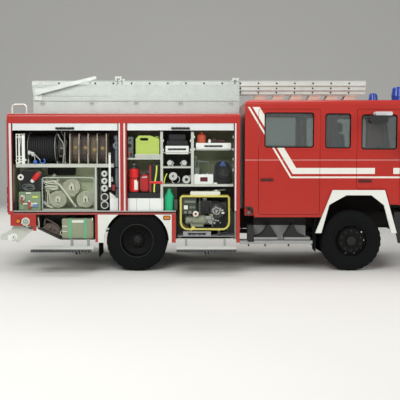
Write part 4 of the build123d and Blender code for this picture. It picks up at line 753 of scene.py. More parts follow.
outline = rounded(-1.086, 1.086, 0.115, 0.896, 0.088, steps=6)
seal = Shape().sweep([on_screen(y, up, -0.006) for y, up in outline], oblong(30, 26), loop=True, up=(1, 0, 0.15))
piece("windscreen_seal", seal, "rubber")
wipers = Shape()
for y in (-0.62, 0.22):
    wipers.tube([on_screen(y, 0.06, 0.02), on_screen(y + 0.02, 0.20, 0.03), on_screen(y + 0.28, 0.50, 0.022)], 7,
        up=UP)
    wipers.sweep([on_screen(y + 0.02, 0.46, -0.005), on_screen(y + 0.30, 0.50, -0.004),
        on_screen(y + 0.58, 0.47, -0.005)], oblong(20, 20), up=UP)
    wipers.lathe(on_screen(y, 0.06, -0.002), AHEAD, (0, 22, 20, 22, 26, 14), 20)
piece("windscreen_wipers", wipers, "black_plastic")
glasses = Shape()
for side in (-1, 1):
    glasses.slab(rounded(*sorted((side * (SIDE + 0.075), side * (SIDE + 0.235))), 2.02, 2.38, 0.03), FRONT + 0.876,
        FRONT + 0.881, "x", 0.001)
piece("mirror_glasses", glasses, "mirror_glass")
mesh = Shape()
for z in np.arange(1.235, 1.590, 0.012):
    mesh.sweep([(CAB_FRONT + 0.003, -0.765, z), (CAB_FRONT + 0.003, 0.765, z)], oblong(3, 4.5), up=UP)
piece("grille_mesh", mesh, "black_plastic")

# Ladder: rung ends, rail lips and the boards under it
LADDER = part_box("ladder")
LADDER_Y = -0.420
SECTIONS = ((0.230, 3.128, 3.215), (0.200, 3.050, 3.126), (0.170, 2.984, 3.048))
ends, lips = Shape(), Shape()
for half, low, high in SECTIONS:
    for side in (-1, 1):
        face = LADDER_Y + side * (half + 0.013)
        for x in np.arange(LADDER[0][0] + 0.150, LADDER[1][0] - 0.12, 0.312):
            ends.lathe((x, face - side * 0.001, (low + high) / 2), (0, side, 0), (0, 16, 3, 16, 4, 11, 2, 10),
                turns=14)
        for z in (low + 0.006, high - 0.006):
            lips.sweep([(LADDER[0][0], face, z), (LADDER[1][0], face, z)], oblong(8, 10), up=UP)
piece("ladder_rung_ends", ends, "black_plastic")
piece("ladder_rail_lips", lips, "ladder_alloy")
boards = Shape()
roof = corner("cab_roof", 1, 2) - 0.007
for x in FRONT + np.array([-1.640, -1.328, -1.016, -0.704, -0.392, -0.080]):
    for y in (LADDER_Y - 0.14, LADDER_Y + 0.14):
        outline = [(x, roof), (x + 0.200, roof), (x + 0.265, roof + 0.095), (x + 0.060, roof + 0.095)]
        boards.slab(outline, y - 0.012, y + 0.012, "y", 0.003)
    outline = [(x + 0.060, roof + 0.095), (x + 0.265, roof + 0.095), (x + 0.265, roof + 0.110),
        (x + 0.060, roof + 0.110)]
    boards.slab(outline, LADDER_Y - 0.160, LADDER_Y + 0.160, "y", 0.002)
piece("hose_bridge_boards", boards, "bare_wood")

# Gallery: rivets and the rail's clamps
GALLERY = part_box("gallery")
rivets = Shape()
for side in (-1, 1):
    for z in (2.660, 2.825, 2.950, 3.105):
        for x in np.arange(GALLERY[0][0] + 0.04, GALLERY[1][0], 0.168):
            rivets.lathe((x, side * 1.1, z), (0, side, 0), (0, 7, 2, 6.2, 3.5, 3), turns=8)
piece("gallery_rivets", rivets, "worn_steel")
clamps = Shape()
for side in (-1, 1):
    for x in FRONT + np.array([-5.163, -4.344, -3.605, -2.864, -2.023]):
        for shift in (-0.022, 0.022):
            clamps.slab(rounded(x + shift - 0.009, x + shift + 0.009, 2.782, 2.838, 0.004),
                *sorted((side * 1.099, side * 1.116)), "y", 0.003)
        clamps.tube([(x - 0.038, side * 1.110, 2.812), (x + 0.038, side * 1.110, 2.812)], 6, 10, up=UP)
piece("gallery_clamps", clamps, "clamp_steel")

# Body: seals along the floor and up the posts, and the shutters' handles
trims = Shape()
for side in (-1, 1):
    trims.sweep([(FRONT - 5.652, side * (SIDE + 0.002), FLOOR - 0.020),
        (FRONT - 2.948, side * (SIDE + 0.002), FLOOR - 0.020)], oblong(8, 15), up=UP)
    for x in (FRONT - 5.650, FRONT - 3.900, FRONT - 3.748, FRONT - 1.974):
        trims.sweep([(x, side * (SIDE - 0.002), FLOOR + 0.004), (x, side * (SIDE - 0.002), 2.474)], oblong(8, 12))
piece("locker_frame_seals", trims, "rubber")


def grip(shape, x, y, z, length, out=-1):
    """A black bow handle: a bar with five finger waves, its radius 0.018 + 0.0015 * cos."""
    run = np.linspace(-length / 2, length / 2, 41)
    swell = 0.018 + 0.0015 * np.cos(run / length * 10 * pi)
    turn = around(12)
    points = points_at(x + run[:, None], y + swell[:, None] * np.cos(turn), z + swell[:, None] * np.sin(turn))
    shape.grid(points)
    for end in (-1, 1):
        shape.lathe((x + end * (length / 2 - 0.02), y, z), (0, -out, 0), (0, 15, 22, 17), turns=14)
    return shape


handles = Shape()
for x in (FRONT - 4.775, FRONT - 2.861):
    grip(handles, x, -(SIDE + 0.012), 2.392, 0.308)
    grip(handles, x, SIDE + 0.010, 1.075, 0.308, 1)
piece("shutter_handles", handles, "black_plastic")

# Lower body: the couplings' caps, lamp rims and the corner lamps' lenses
caps = Shape()
for side in (-1, 1):
    at = (BODY_BACK + 0.291, side * (SIDE + 0.018), 0.843)
    caps.lathe(at, (0, side, 0), (-6, 68.5, 3, 66, 4, 54, -6, 50), 48, loop=True)
    for turn in (0.4, 0.4 + pi):
        x, z = at[0] + 0.062 * cos(turn), at[2] + 0.062 * sin(turn)
        caps.lathe((x, at[1] + side * 0.002, z), (0, side, 0), (0, 13, 10, 12, 13, 7), 12)
piece("suction_cap_rings", caps, "pale_enamel")
centres = Shape()
for side in (-1, 1):
    centres.lathe((BODY_BACK + 0.291, side * (SIDE + 0.011), 0.843), (0, side, 0), (0, 46, 4, 44, 7, 20, 9, 18), 40)
    centres.sweep([(BODY_BACK + 0.262, side * (SIDE + 0.019), 0.843), (BODY_BACK + 0.320, side * (SIDE + 0.019),
        0.843)], oblong(6, 14), up=UP)
piece("suction_cap_centres", centres, "cap_green")
rims = Shape()
for side in (-1, 1):
    rims.lathe((BODY_BACK + 0.166, side * (SIDE + 0.001), 0.852), (0, side, 0), (0, 38, 14, 37, 16, 33, 0, 32), 32,
        loop=True)
    outline = rounded(FRONT - 3.145, FRONT - 3.038, 0.878, 0.938, 0.014)
    path = points_at(outline[:, 0], side * (SIDE + 0.006), outline[:, 1])
    rims.sweep(path, oblong(12, 7), loop=True, up=(0, side, 0))
    rims.lathe((FRONT - 1.727, side * (SIDE - 0.002), 0.989), (0, side, 0), (-10, 40, 10, 38, 12, 34, -10, 33), 32,
        loop=True)
piece("side_lamp_rims", rims, "worn_rim", slot="black_plastic")
lenses = Shape()
for side in (-1, 1):
    lenses.lathe((FRONT - 1.727, side * (SIDE - 0.002), 0.989), (0, side, 0), (-10, 34, 4, 32, 8, 18), 28)
piece("corner_lamp_lenses", lenses, "grey_case", slot="glass")

# Edge strips under the sloping lockers, and dark sheets beside the frame, painted shade that closes the engine's bay
edges, sills, shade_sheets = Shape(), Shape(), Shape()
for side in (-1, 1):
    y = side * (SIDE - 0.058)
    foot = [(FRONT - 5.255, y, 0.722), (FRONT - 4.884, y, 0.541), (FRONT - 4.300, y, 0.541)]
    edges.sweep(bent(foot, 30), oblong(16, 20))
    sills.sweep(bent([(FRONT - 2.934, y, 0.546), (FRONT - 2.4, y, 0.545), (FRONT - 1.944, y, 0.546)], 30),
        oblong(16, 20))
    outline = [(FRONT - 0.46, 0.935), (FRONT + 0.62, 0.935), (FRONT + 0.62, 1.46), (FRONT - 0.46, 1.46)]
    shade_sheets.slab(outline, *sorted((side * 0.426, side * 0.430)), "y", 0.001, 1)
piece("lower_locker_edges", edges, "worn_rim", slot="locker_sheet")
piece("generator_bay_sills", sills, "shelf_metal")
piece("engine_bay_shade_sheets", shade_sheets, "chassis_paint")

# Kit in the right lockers

KIT = -(SIDE - 0.070)


def spot(x, z, y=0):
    return (FRONT + x / 1000, KIT + y / 1000, z / 1000)


def spots(y, *places):
    """Points in one upright plane."""
    return [spot(x, z, y) for x, z in places]


def carton(shape, x0, x1, z0, z1, y0, y1, bend=10, edge=4):
    """A box with rounded corners seen from the side, in millimetres."""
    (left, near, low), (right, far, high) = spot(x0, z0, min(y0, y1)), spot(x1, z1, max(y0, y1))
    return shape.slab(rounded(left, right, low, high, bend / 1000), near, far, "y", edge / 1000)


def knob(shape, x, z, radius, high, y=0):
    """A turned knob that stands out of a front."""
    return shape.lathe(spot(x, z, y), OUT, (-4, radius * 0.8, high * 0.3, radius * 0.8, high * 0.5, radius,
        high * 0.9, radius, high, radius * 0.85), 24)


# Hose reel: six-spoked front flange, plain rear flange and the hose wound between them
REEL_Y, REEL_Z = -0.930, 2.070
REEL_X0, REEL_X1 = FRONT - 5.413, FRONT - 4.953
reel_at = (REEL_X0, REEL_Y, REEL_Z)
pitch = 0.0372
along = np.linspace(0.010, 0.448, 150)[:, None]
turn = around(96)[None]
bulge = np.sqrt(np.clip(1 - (2 * ((along / pitch - turn / (2 * pi)) % 1) - 1) ** 2, 0.02, 1))
radius = 0.219 + 0.0175 * bulge
windings = points_at(REEL_X0 + along, REEL_Y + radius * np.cos(turn), REEL_Z + radius * np.sin(turn))
piece("reel_hose", Shape().grid(windings), "reel_hose", "hose_drum", ["hose_reel"])
flanges = Shape().lathe(reel_at, AHEAD, (0, 262, 6, 262, 6, 16, 0, 16), 72, loop=True)
flanges.lathe(reel_at, AHEAD, (452, 262, 458.5, 262, 458.5, 196, 452, 196), 72, loop=True)
flanges.lathe(reel_at, AHEAD, (452, 105, 458.5, 105, 458.5, 16, 452, 16), 48, loop=True)
flanges.lathe(reel_at, AHEAD, (451, 262.5, 460, 262.5, 460, 254, 451, 254), 72, loop=True)
for turn in around(6) + pi / 6:
    hub, rim = (np.array([REEL_X1 - 0.0045, REEL_Y + r * cos(turn), REEL_Z + r * sin(turn)]) for r in (0.095, 0.205))
    flanges.sweep([hub, rim], oblong(34, 6), up=AHEAD)
flanges.lathe(reel_at, AHEAD, (-24, 14.8, 484, 14.8), 20)
piece("reel_flanges", flanges, "worn_steel", "hose_drum", ["hose_reel"])

# Reel drive: gear and crank beside the drum, fixed to the stand
drive = Shape()
turn = around(144)
teeth = 0.162 + 0.006 * np.clip(3 * np.sin(36 * turn), -1, 1)
outline = points_at(REEL_Y + teeth * np.cos(turn), REEL_Z + teeth * np.sin(turn))
drive.slab(outline, FRONT - 4.915, FRONT - 4.893, "x", 0.002, 2)
drive.tube(bent([spot(-4800, 2060, 120), spot(-4800, 2060, 15), spot(-4800, 1930, 15)], 30), 12, up=AHEAD)
drive.tube(spots(15, (-4885, 1930), (-4790, 1930)), 17, 14, up=UP)
piece("reel_drive", drive, "rusty_steel")
crank = Shape().tube(bent([spot(-4905, 2300, 15), spot(-4870, 2215, 8), spot(-4812, 2150, 5), spot(-4804, 2000, 5),
    spot(-4828, 1803.5, 8)], 50), 10.5, 12)
crank.sweep(spots(8, (-4870, 2070), (-4800, 2055)), oblong(14, 20))
crank.sweep(spots(12, (-4792, 2330), (-4792, 1803.5)), oblong(10, 16))
piece("reel_stand_crank", crank, "worn_steel")

# Hoses standing in the rack: each a flat hose rolled up, with a coupling at its outer end
RACK = [-4708.7 + 152 * i for i in range(4)]
ROLL_RADIUS = 0.2475
ROLL_Z = 1.8035 + ROLL_RADIUS
t = np.linspace(0, 1, 500)
swirl = 2 * pi * 11.5 * t + 0.4
reach = 0.058 + 0.182 * t
for i, x0 in enumerate(RACK):
    x = FRONT + x0 / 1000 + 0.0717
    lean = 0.006 * np.sin(3 * swirl + i)
    path = points_at(x + lean * t, REEL_Y + reach * np.cos(swirl), ROLL_Z + reach * np.sin(swirl))
    rolled = Shape().sweep(path, oblong(13.2, 128, 5), up=AHEAD)
    piece(f"rack_hose_{i + 1}", rolled, ("rack_hose_beige", "rack_hose_mauve")[i % 2], "vehicle", ["hoses"])
ends, straps = Shape(), Shape()
for i, (dx, z, size) in enumerate(((96, 2076, 30), (109, 2068, 32), (108, 2035, 34), (90, 2062, 33))):
    x, drop = FRONT + (RACK[i] + dx) / 1000, z / 1000 - ROLL_Z
    y = REEL_Y - sqrt(0.246 ** 2 - drop ** 2)
    ends.lathe((x, y + 0.012, z / 1000), OUT, (0, size, 16, size, 18, size * 0.8, 24, size * 0.8, 26, 20), 28)
    for dz in (-0.026, 0.026):
        ends.lathe((x, y + 0.004, z / 1000 + dz), OUT, (0, 11, 20, 10, 24, 6), 12)
    turn = np.linspace(0, 2 * pi, 73)[:-1]
    band = points_at(FRONT + (RACK[i] + 40) / 1000, REEL_Y + ROLL_RADIUS * np.cos(turn),
        ROLL_Z + ROLL_RADIUS * np.sin(turn))
    straps.sweep(band, oblong(3, 26, 1), loop=True, up=AHEAD)
piece("rack_hose_couplings", ends, "brass")
piece("rack_hose_straps", straps, "dark_webbing")

# Hoses coiled in the frame below: three spirals with hubs, folded hose on them, and one hose laid across
COILS = ((-4930, 1200), (-4464, 1200), (-4697, 1404.5))
coils, hubs, slots = Shape(), Shape(), Shape()
t = np.linspace(0, 1, 420)
for i, (x, z) in enumerate(COILS):
    swirl = 2 * pi * 4.5 * t + i
    reach = 0.048 + 0.0965 * t + 0.0012 * np.sin(5 * swirl)
    path = points_at(FRONT + x / 1000 + reach * np.cos(swirl), -1.010 + 0.004 * np.sin(2 * swirl),
        z / 1000 + reach * np.sin(swirl))
    coils.sweep(path, oblong(12.5, 204, 5.5))
    carton(hubs, x - 44, x + 44, z - 44, z + 44, 62, 260, 12)
    carton(hubs, x - 30, x + 30, z + 20, z + 60, 59, 80, 10)
    carton(slots, x - 11, x + 11, z - 30, z + 22, 60.5, 80, 6, 1)
piece("coiled_hoses", coils, "pale_hose", "vehicle", ["hoses"])
piece("coil_hubs", hubs, "coil_hub")
piece("coil_hub_slots", slots, "black_plastic")
folds = Shape()
t = np.linspace(0, 1, 260)
for i in range(7):
    shift, bends = 0.37 * i, 2.5 + 0.5 * (i % 3)
    swing = np.tanh(2.0 * np.sin(2 * pi * (bends * t + shift)))
    path = points_at(FRONT - 5.036 + (0.108 - 0.008 * (i % 3)) * swing,
        -1.106 + 0.027 * i + 0.010 * np.cos(9 * t + i), 1.368 + 0.180 * (t + 0.10 * np.sin(11 * t + 2.1 * i)) * 0.92)
    folds.tube(path, 11.5, 9)
for i, (x, out) in enumerate(((-5.128, 0.030), (-5.112, 0.048), (-5.098, 0.020))):
    run = np.linspace(0, 1, 50)
    path = points_at(FRONT + x + out * np.sin(pi * run) + 0.008 * np.sin(9 * run + i), -1.100 + 0.020 * i,
        1.365 - 0.275 * run)
    folds.tube(path, 8.5, 9)
laid = bent([spot(-4985, 1500, 70), spot(-4900, 1462, 44), spot(-4780, 1300, 43.5), spot(-4672, 1146, 44)], 60, 8)
folds.tube(laid, 16.5, 14)
folds.tube(bent(spots(80, (-5131, 1119), (-5085, 1082), (-5020, 1066)), 30), 15, 12)
piece("folded_hose", folds, "coil_hub", "vehicle", ["hoses"])
piece("wall_crate", carton(Shape(), -5150, -4690, 1602, 1742, 380, 529.5, 12), "black_plastic")
branch = Shape()
slant = np.array([0.62, 0.0, 0.785])
for origin, axis, size in ((spot(-5028, 1548, 95), slant, 1.0), (spot(-5105, 1104, 80), (-0.78, 0, 0.62), 0.8),
        (spot(-4676, 1152, 44), (0.6, 0, -0.8), 0.75), (spot(-5150, 1470, 80), (-0.5, 0, 0.86), 0.7)):
    branch.lathe(origin, axis, (0, 20 * size, 20, 21 * size, 24, 36 * size, 60, 38 * size, 64, 30 * size, 80,
        30 * size, 86, 34 * size, 94, 28 * size), 28)
piece("hose_end_couplings", branch, "cast_alloy")

# Coupling ends: rings, claws and bores
rings, bores = Shape(), Shape()


def coupling(at, outer, inner, face, turns, inset, lug, sides, mouth):
    """A ring with a turned face and lugs at some turns round its rim, and the black bore in it."""
    rings.lathe(at, OUT, (-60, outer - 12, -45, outer + 1, 4, outer + 1, 9, outer - 4, *face, -50, inner), 48)
    reach = (outer - inset) / 1000
    for turn in turns:
        rings.lathe((at[0] + reach * cos(turn), at[1] - 0.006, at[2] + reach * sin(turn)), OUT, lug, sides)
    bores.lathe(at, OUT, (-40, inner + 2, mouth, inner + 0.8), 32)


for z, outer, inner in ((1112, 65, 48), (1244, 65, 48), (1394, 57, 19), (1517, 52, 18), (1638, 52, 18)):
    coupling(spot(-4138, z, 21.5), outer, inner, (9, inner + 4, 4, inner), (0.5, 0.5 + pi), 9, (0, 10, 10, 10, 13, 6),
        12, -2)
for x, z, outer, inner in ((-2989, 1593, 68, 22), (-2766, 1540, 67, 27)):
    coupling(spot(x, z, 29.5), outer, inner, (8, outer - 22, 14, outer - 26, 14, inner + 4, 10, inner), around(10),
        12, (0, 8, 8, 7, 10, 4), 8, 4)
piece("coupling_rings", rings, "white_cast")
piece("coupling_bores", bores, "black_plastic")

# Pump box with its taps, and the bag on it
box = carton(Shape(), -5571, -5211, 1021, 1337, 0, 450, 12)
for z0, z1 in ((1300, 1326), (1030, 1050)):
    carton(box, -5560, -5226, z0, z1, -6, 10, 6, 2)
carton(box, -5555, -5470, 1040, 1130, -12, 10, 8, 3)
piece("pump_box", box, "pump_green", "vehicle", ["cases"])
taps = Shape()
for x, z, high, radius in ((-5512, 1200, 112, 19), (-5389, 1112, 122, 26)):
    taps.lathe(spot(x, z - high / 2, -26), UP, (0, radius * 0.8, 10, radius, high * 0.40, radius, high * 0.45,
        radius * 0.7, high * 0.60, radius * 0.7, high * 0.65, radius * 1.1, high * 0.90, radius * 1.1, high,
        radius * 0.6), 24)
    taps.lathe(spot(x, z), OUT, (-4, radius * 0.9, 22, radius * 0.8), 20)
piece("pump_taps", taps, "dull_red")
tops = Shape()
for x, z, radius in ((-5512, 1268, 15), (-5394, 1180, 17)):
    tops.lathe(spot(x, z - 14, -26), UP, (0, 10, 6, radius, 24, radius, 30, radius / 1.7), 20)
tops.tube(spots(-20, (-5500, 1135), (-5410, 1135)), 11, 12, up=UP)
carton(tops, -5447, -5367, 1304, 1326, -10, 0, 4, 2)
carton(tops, -5335, -5262, 1132, 1152, -26, 0, 6, 2)
piece("pump_pale_parts", tops, "pale_enamel")
piece("pump_blue_box", carton(Shape(), -5334, -5246, 1076, 1132, -24, 0, 8), "dull_blue")
piece("pump_plate", carton(Shape(), -5344, -5254, 1238, 1262, -4, 0, 3, 1), "lime_plate")
piece("wall_socket_box", carton(Shape(), -5652, -5606, 1032, 1162, -10, 60, 8), "black_plastic")

bag = Shape().soft(spot(-5572, 1337.3, -4), spot(-5203, 1703, 420), 6.0, 40, 72, 0.02, 0.012, 1.3)
piece("reel_bag", bag, "black_cloth", "vehicle", ["cases"])
loops = Shape()
turn = around(60)
for x, z, wide, high, y in ((-5394, 1392, 92, 34, -1.186), (-5386, 1404, 72, 46, -1.190),
        (-5410, 1424, 100, 40, -1.182)):
    ring = points_at(FRONT + x / 1000 + wide / 1000 * np.cos(turn), y + 0.004 * np.sin(2 * turn),
        z / 1000 + high / 1000 * np.sin(turn))
    loops.tube(ring, 8.5, 10, loop=True)
piece("bag_carry_loops", loops, "grey_case", slot="black_plastic")
ring = Shape().lathe(spot(-5535, 1579, 60), OUT, (0, 22, 0, 50, 62, 52, 71, 44, 71, 26, 62, 20), 48, loop=True)
piece("bag_white_ring", ring, "pale_enamel")
slant, foot = np.array([0.66, -0.10, 0.745]), np.array(spot(-5325, 1535, 15))
body = Shape().lathe(foot, slant, (0, 30, 12, 40, 40, 46, 130, 46, 150, 36, 155, 24), 32)
for step in (0.055, 0.080, 0.105):
    body.lathe(foot + slant * step, slant, (0, 47.5, 10, 47.5), 32)
piece("nozzle_red_grip", body, "bright_red")
collar = Shape().lathe(foot - slant * 0.050, slant, (0, 26, 6, 33, 44, 36, 52, 30), 28)
piece("nozzle_white_collar", collar, "pale_enamel")
tip = Shape().lathe(foot + slant * 0.154, slant, (0, 26, 10, 32, 30, 30, 34, 22), 28)
piece("nozzle_brass_tip", tip, "brass")

# On the reel's shelf: folded stool, a nozzle on its rod and a blue ring handle
stool = Shape()
stool.tube(bent([spot(-5540, 2298, 4), spot(-5532, 2200, 2), spot(-5548, 2060, 2), spot(-5541, 1812, 4)], 50), 9, 12)
stool.sweep(spots(-2, (-5590, 1812), (-5431, 1874)), oblong(26, 20))
stool.sweep(spots(4, (-5592, 1814), (-5614, 1866)), oblong(10, 16))
for z in (1880, 2296):
    stool.sweep(spots(2, (-5606, z), (-5452, z)), oblong(12, 12))
piece("stool_braces", stool, "pale_enamel")
nozzle = Shape().lathe(spot(-5300, 1975, -6), (-0.55, -0.05, 0.10), (0, 20, 30, 24, 60, 26, 66, 36, 100, 38, 106, 26),
    28)
nozzle.lathe(spot(-5322, 1958, -6), (-0.35, 0, -0.93), (0, 22, 20, 24, 26, 16), 20)
nozzle.tube(spots(-6, (-5300, 1970), (-5205, 1868)), 6.5, 10)
nozzle.tube(bent([spot(-5300, 1970, -6), spot(-5292, 1900, -6), spot(-5292, 1808, 10)], 30), 6, 10)
piece("shelf_nozzle", nozzle, "white_cast")
turn = np.linspace(0.9, 0.9 + 1.55 * pi, 40)
arc = points_at(FRONT - 5.167 + 0.040 * np.cos(turn + pi / 2), -1.178, 1.850 + 0.040 * np.sin(turn + pi / 2))
blue = Shape().tube(arc, 12.5, 14)
carton(blue, -5315, -5255, 1803, 1862, -20, 60, 14)
piece("blue_ring_handle", blue, "bright_blue")

# Beside the standpipe: red box, bottle with a wedge under it, and clips
piece("red_key_box", carton(Shape(), -4024, -3962, 1352, 1452, 40, 120, 6), "dark_red")
bottle = Shape().lathe(spot(-4018, 1500, 70), UP, (0, 15, 6, 21, 52, 22, 64, 12, 82, 12, 84, 8), 24)
bottle.slab([(FRONT - 4.052, 1.2290), (FRONT - 3.950, 1.2290), (FRONT - 3.950, 1.245), (FRONT - 4.052, 1.330)], -1.16,
    -1.02, "y", 0.004)
piece("small_bottle_and_wedge", bottle, "pale_enamel")
clips = carton(Shape(), -4064, -4022, 1366, 1424, -20, -5, 8)
clips.tube(spots(70, (-3973, 1500), (-3973, 1352)), 6, 8)
for z in (1728, 1380):
    carton(clips, -3972, -3918, z, z + 20, 135, 190, 4)
piece("standpipe_clips", clips, "black_plastic")

# Front bay, left part: grey box, tray, canister's mouldings, extinguisher, pouch, board, long bag and straps
box = carton(Shape(), -3743, -3651, 1903, 2253, 6, 420, 8)
for x0, x1, z0, z1 in ((-3743, -3734, 1903, 2253), (-3660, -3651, 1903, 2253), (-3743, -3651, 2240, 2253),
        (-3743, -3651, 1903, 1916), (-3743, -3651, 2022, 2032)):
    carton(box, x0, x1, z0, z1, -2, 20, 3, 1.5)
piece("grey_lamp_box", box, "grey_case", "vehicle", ["cases"])
parts = Shape().lathe(spot(-3710, 2108, 4), OUT, (-4, 30, 10, 29, 14, 24, 8, 18), 28)
carton(parts, -3716, -3684, 2180, 2216, 0, 20, 6)
carton(parts, -3704, -3672, 1930, 1985, 0, 20, 6)
piece("lamp_box_details", parts, "black_plastic")
piece("lamp_box_red_cell", carton(Shape(), -3731, -3707, 1950, 2006, 0, 20, 5), "dull_red")
tray = carton(Shape(), -3622, -3205, 1903, 1965.5, 0, 480, 6)
carton(tray, -3628, -3200, 1938, 1966, -6, 10, 6, 2)
piece("canister_tray", tray, "shelf_metal", "vehicle", ["cases"], "case_plastic")
ribs = Shape()
for path in ([(-3570, 2180), (-3535, 2142), (-3440, 2142), (-3405, 2180)], [(-3596, 2000), (-3596, 2190)],
        [(-3236, 2000), (-3236, 2180)], [(-3590, 1990), (-3240, 1990)]):
    ribs.sweep(bent([spot(x, z) for x, z in path], 20), oblong(8, 5, 2))
piece("canister_ribs", ribs, "lime_canister")
cap = Shape().lathe(spot(-3261, 2236, 115), UP, (0, 33, 4, 36, 26, 36, 30, 30), 30)
piece("canister_cap", cap, "lime_canister")

GAS_X, GAS_Y = FRONT - 3.644, -1.080
gas = Shape()
for z in (1.556, 1.322):
    gas.lathe((GAS_X, GAS_Y, z), UP, (0, 88.5, 0, 90.2, 16, 90.2, 16, 88.5), 60, loop=True)
gas.sweep(bent([(GAS_X - 0.028, GAS_Y, 1.842), (GAS_X + 0.020, GAS_Y - 0.006, 1.846),
    (GAS_X + 0.070, GAS_Y - 0.03, 1.812)], 20), oblong(20, 7), up=UP)
run = np.linspace(0, 1, 40)
hose = points_at(GAS_X + 0.020 + 0.088 * np.sin(pi * run) * 0.9, GAS_Y - 0.060 - 0.020 * np.sin(pi * run),
    1.790 - 0.330 * run + 0.03 * np.sin(pi * run))
gas.tube(hose, 8.5, 12)
gas.lathe(hose[-1], (0, 0, -1), (0, 10.5, 50, 12, 75, 9), 16)
gas.lathe((GAS_X, GAS_Y, 1.750), UP, (0, 45, 12, 30, 26, 26), 24)
piece("extinguisher_black_parts", gas, "black_plastic")
turn = np.linspace(-1.50, -0.75, 24)
label = points_at(GAS_X + 0.0893 * np.cos(turn), GAS_Y + 0.0893 * np.sin(turn), 1.450)
plate = Shape().sweep(label, oblong(1, 165, 0.4), up=UP)
piece("extinguisher_plain_label", plate, "pale_enamel")

pouch = Shape().soft(spot(-3542, 1320.3, -3), spot(-3390, 1637, 300), 4.5, 36, 60, 0.05, 0.018, 1.7)
piece("red_pouch", pouch, "red_bag", "vehicle", ["cases"])
piece("red_board", carton(Shape(), -3388, -3352, 1321, 1778, 0, 200, 12), "dark_red", "vehicle", ["cases"])
case = carton(Shape(), -3349, -3212, 1320.3, 1787, 0, 460, 30, 22)
for x in (-3332, -3228):
    case.tube(spots(1, (x, 1345), (x, 1762)), 4, 8)
piece("black_stretcher_bag", case, "black_cloth", "vehicle", ["cases"])
run = np.linspace(0, 1, 30)
stripe = points_at(FRONT - 3.262 - 0.044 * run + 0.006 * np.sin(2 * pi * run), KIT - 0.0015, 1.775 - 0.445 * run)
piece("reflecting_band", Shape().sweep(stripe, oblong(24, 5, 2)), "lime_plate")
band = bent([spot(-3392, 1500, 20), spot(-3386, 1497, -6), spot(-3270, 1492, -9), spot(-3205, 1490, -12.5),
    spot(-3166, 1488, -12.5)], 15)
strap = Shape().sweep(band, oblong(4, 42, 1.5), up=UP)
carton(strap, -3196, -3170, 1464, 1514, -20, -10, 4, 2)
piece("red_strap", strap, "bright_red")
dark = Shape()
for x0, x1, z0, z1, y in ((-3552, -3486, 1600, 1648, -1.165), (-3478, -3402, 1612, 1668, -1.150)):
    dark.soft((FRONT + x0 / 1000, y, z0 / 1000), (FRONT + x1 / 1000, y + 0.2, z1 / 1000), 3.5, 20, 28, 0, 0.02)
piece("dark_glove_rolls", dark, "brown_cloth")
grey = Shape().sweep(spots(-4, (-3508, 1578), (-3420, 1584)), oblong(18, 5))
piece("pouch_grey_strap", grey, "shelf_metal")

# Front bay, middle part: drawers, ribbed boxes, nozzle heads, clamps and the slides' clips
drawer = carton(Shape(), -3115, -2727, 1995.3, 2103, 0, 500, 6, 3)
carton(drawer, -3110, -2732, 1966, 1986, -3, 30, 4, 2)
carton(drawer, -2606, -2023, 2053.3, 2151, 0, 500, 6, 3)
carton(drawer, -2600, -2030, 2030, 2040, 2, 30, 3, 2)
piece("drawers", drawer, "white_box", "vehicle", ["cases"])
pulls = Shape()
for x, z in ((-2921, 2049), (-2314, 2100)):
    carton(pulls, x - 154, x + 154, z - 12, z + 12, -12, 0, 10)
    for step in range(4):
        carton(pulls, x - 146 + 76 * step, x - 86 + 76 * step, z - 15, z - 8, -14, 0, 3, 2)
piece("drawer_handles", pulls, "black_plastic")
ribbed = carton(Shape(), -3094, -2744, 2103.3, 2190, 4, 460, 16)
for x in range(-3076, -2750, 42):
    carton(ribbed, x, x + 22, 2112, 2184, -3, 20, 6)
carton(ribbed, -3060, -2780, 2190, 2296, 50, 400, 20)
piece("black_ribbed_boxes", ribbed, "black_plastic", "vehicle", ["cases"], "case_plastic")
heads = Shape()
for x, tilt in ((-3032, -0.35), (-2816, 0.30)):
    at = np.array(spot(x, 1806, 80))
    heads.lathe(at, (tilt, -0.85, 0.35), (0, 30, 30, 34, 36, 43, 52, 43, 54, 30, 44, 20), 30)
    for turn in around(5) + 0.3:
        arm = at + np.array([0.052 * cos(turn), -0.030, 0.040 * sin(turn)])
        heads.lathe(arm, (cos(turn), -0.1, sin(turn)), (-16, 10, 6, 9, 10, 5), 10)
turn = np.linspace(-1.2, 1.2, 20)
for x, z, reach, flip in ((-3010, 1535, 60, -1), (-2880, 1542, 52, 1), (-2700, 1585, 26, 1)):
    arc = points_at(FRONT + x / 1000 + flip * reach / 1000 * (np.cos(turn) - 1), -1.150,
        z / 1000 + 1.1 * reach / 1000 * np.sin(turn))
    heads.sweep(arc, oblong(10, 22))
piece("nozzle_heads_and_clamps", heads, "white_cast")
run = np.linspace(0, 1, 24)
strap = points_at(FRONT - 3.140 + 0.050 * run ** 2, -1.155, 1.472 + 0.170 * run)
piece("lime_strap", Shape().sweep(strap, oblong(16, 6)), "lime_plate")
clips = Shape()
for x, zs in ((-3150, (2033, 2190)), (-2696, (2033, 2190)), (-2633, (2045, 2251)), (-1986, (2045, 2251, 1880, 1700))):
    for z in zs:
        carton(clips, x - 9, x + 9, z - 22, z + 22, -12, 15, 5, 2)
for z in (1232, 1500, 1900, 2240):
    carton(clips, -3206, -3190, z - 10, z + 10, -13, 0, 3, 1)
piece("slide_clips", clips, "white_cast")

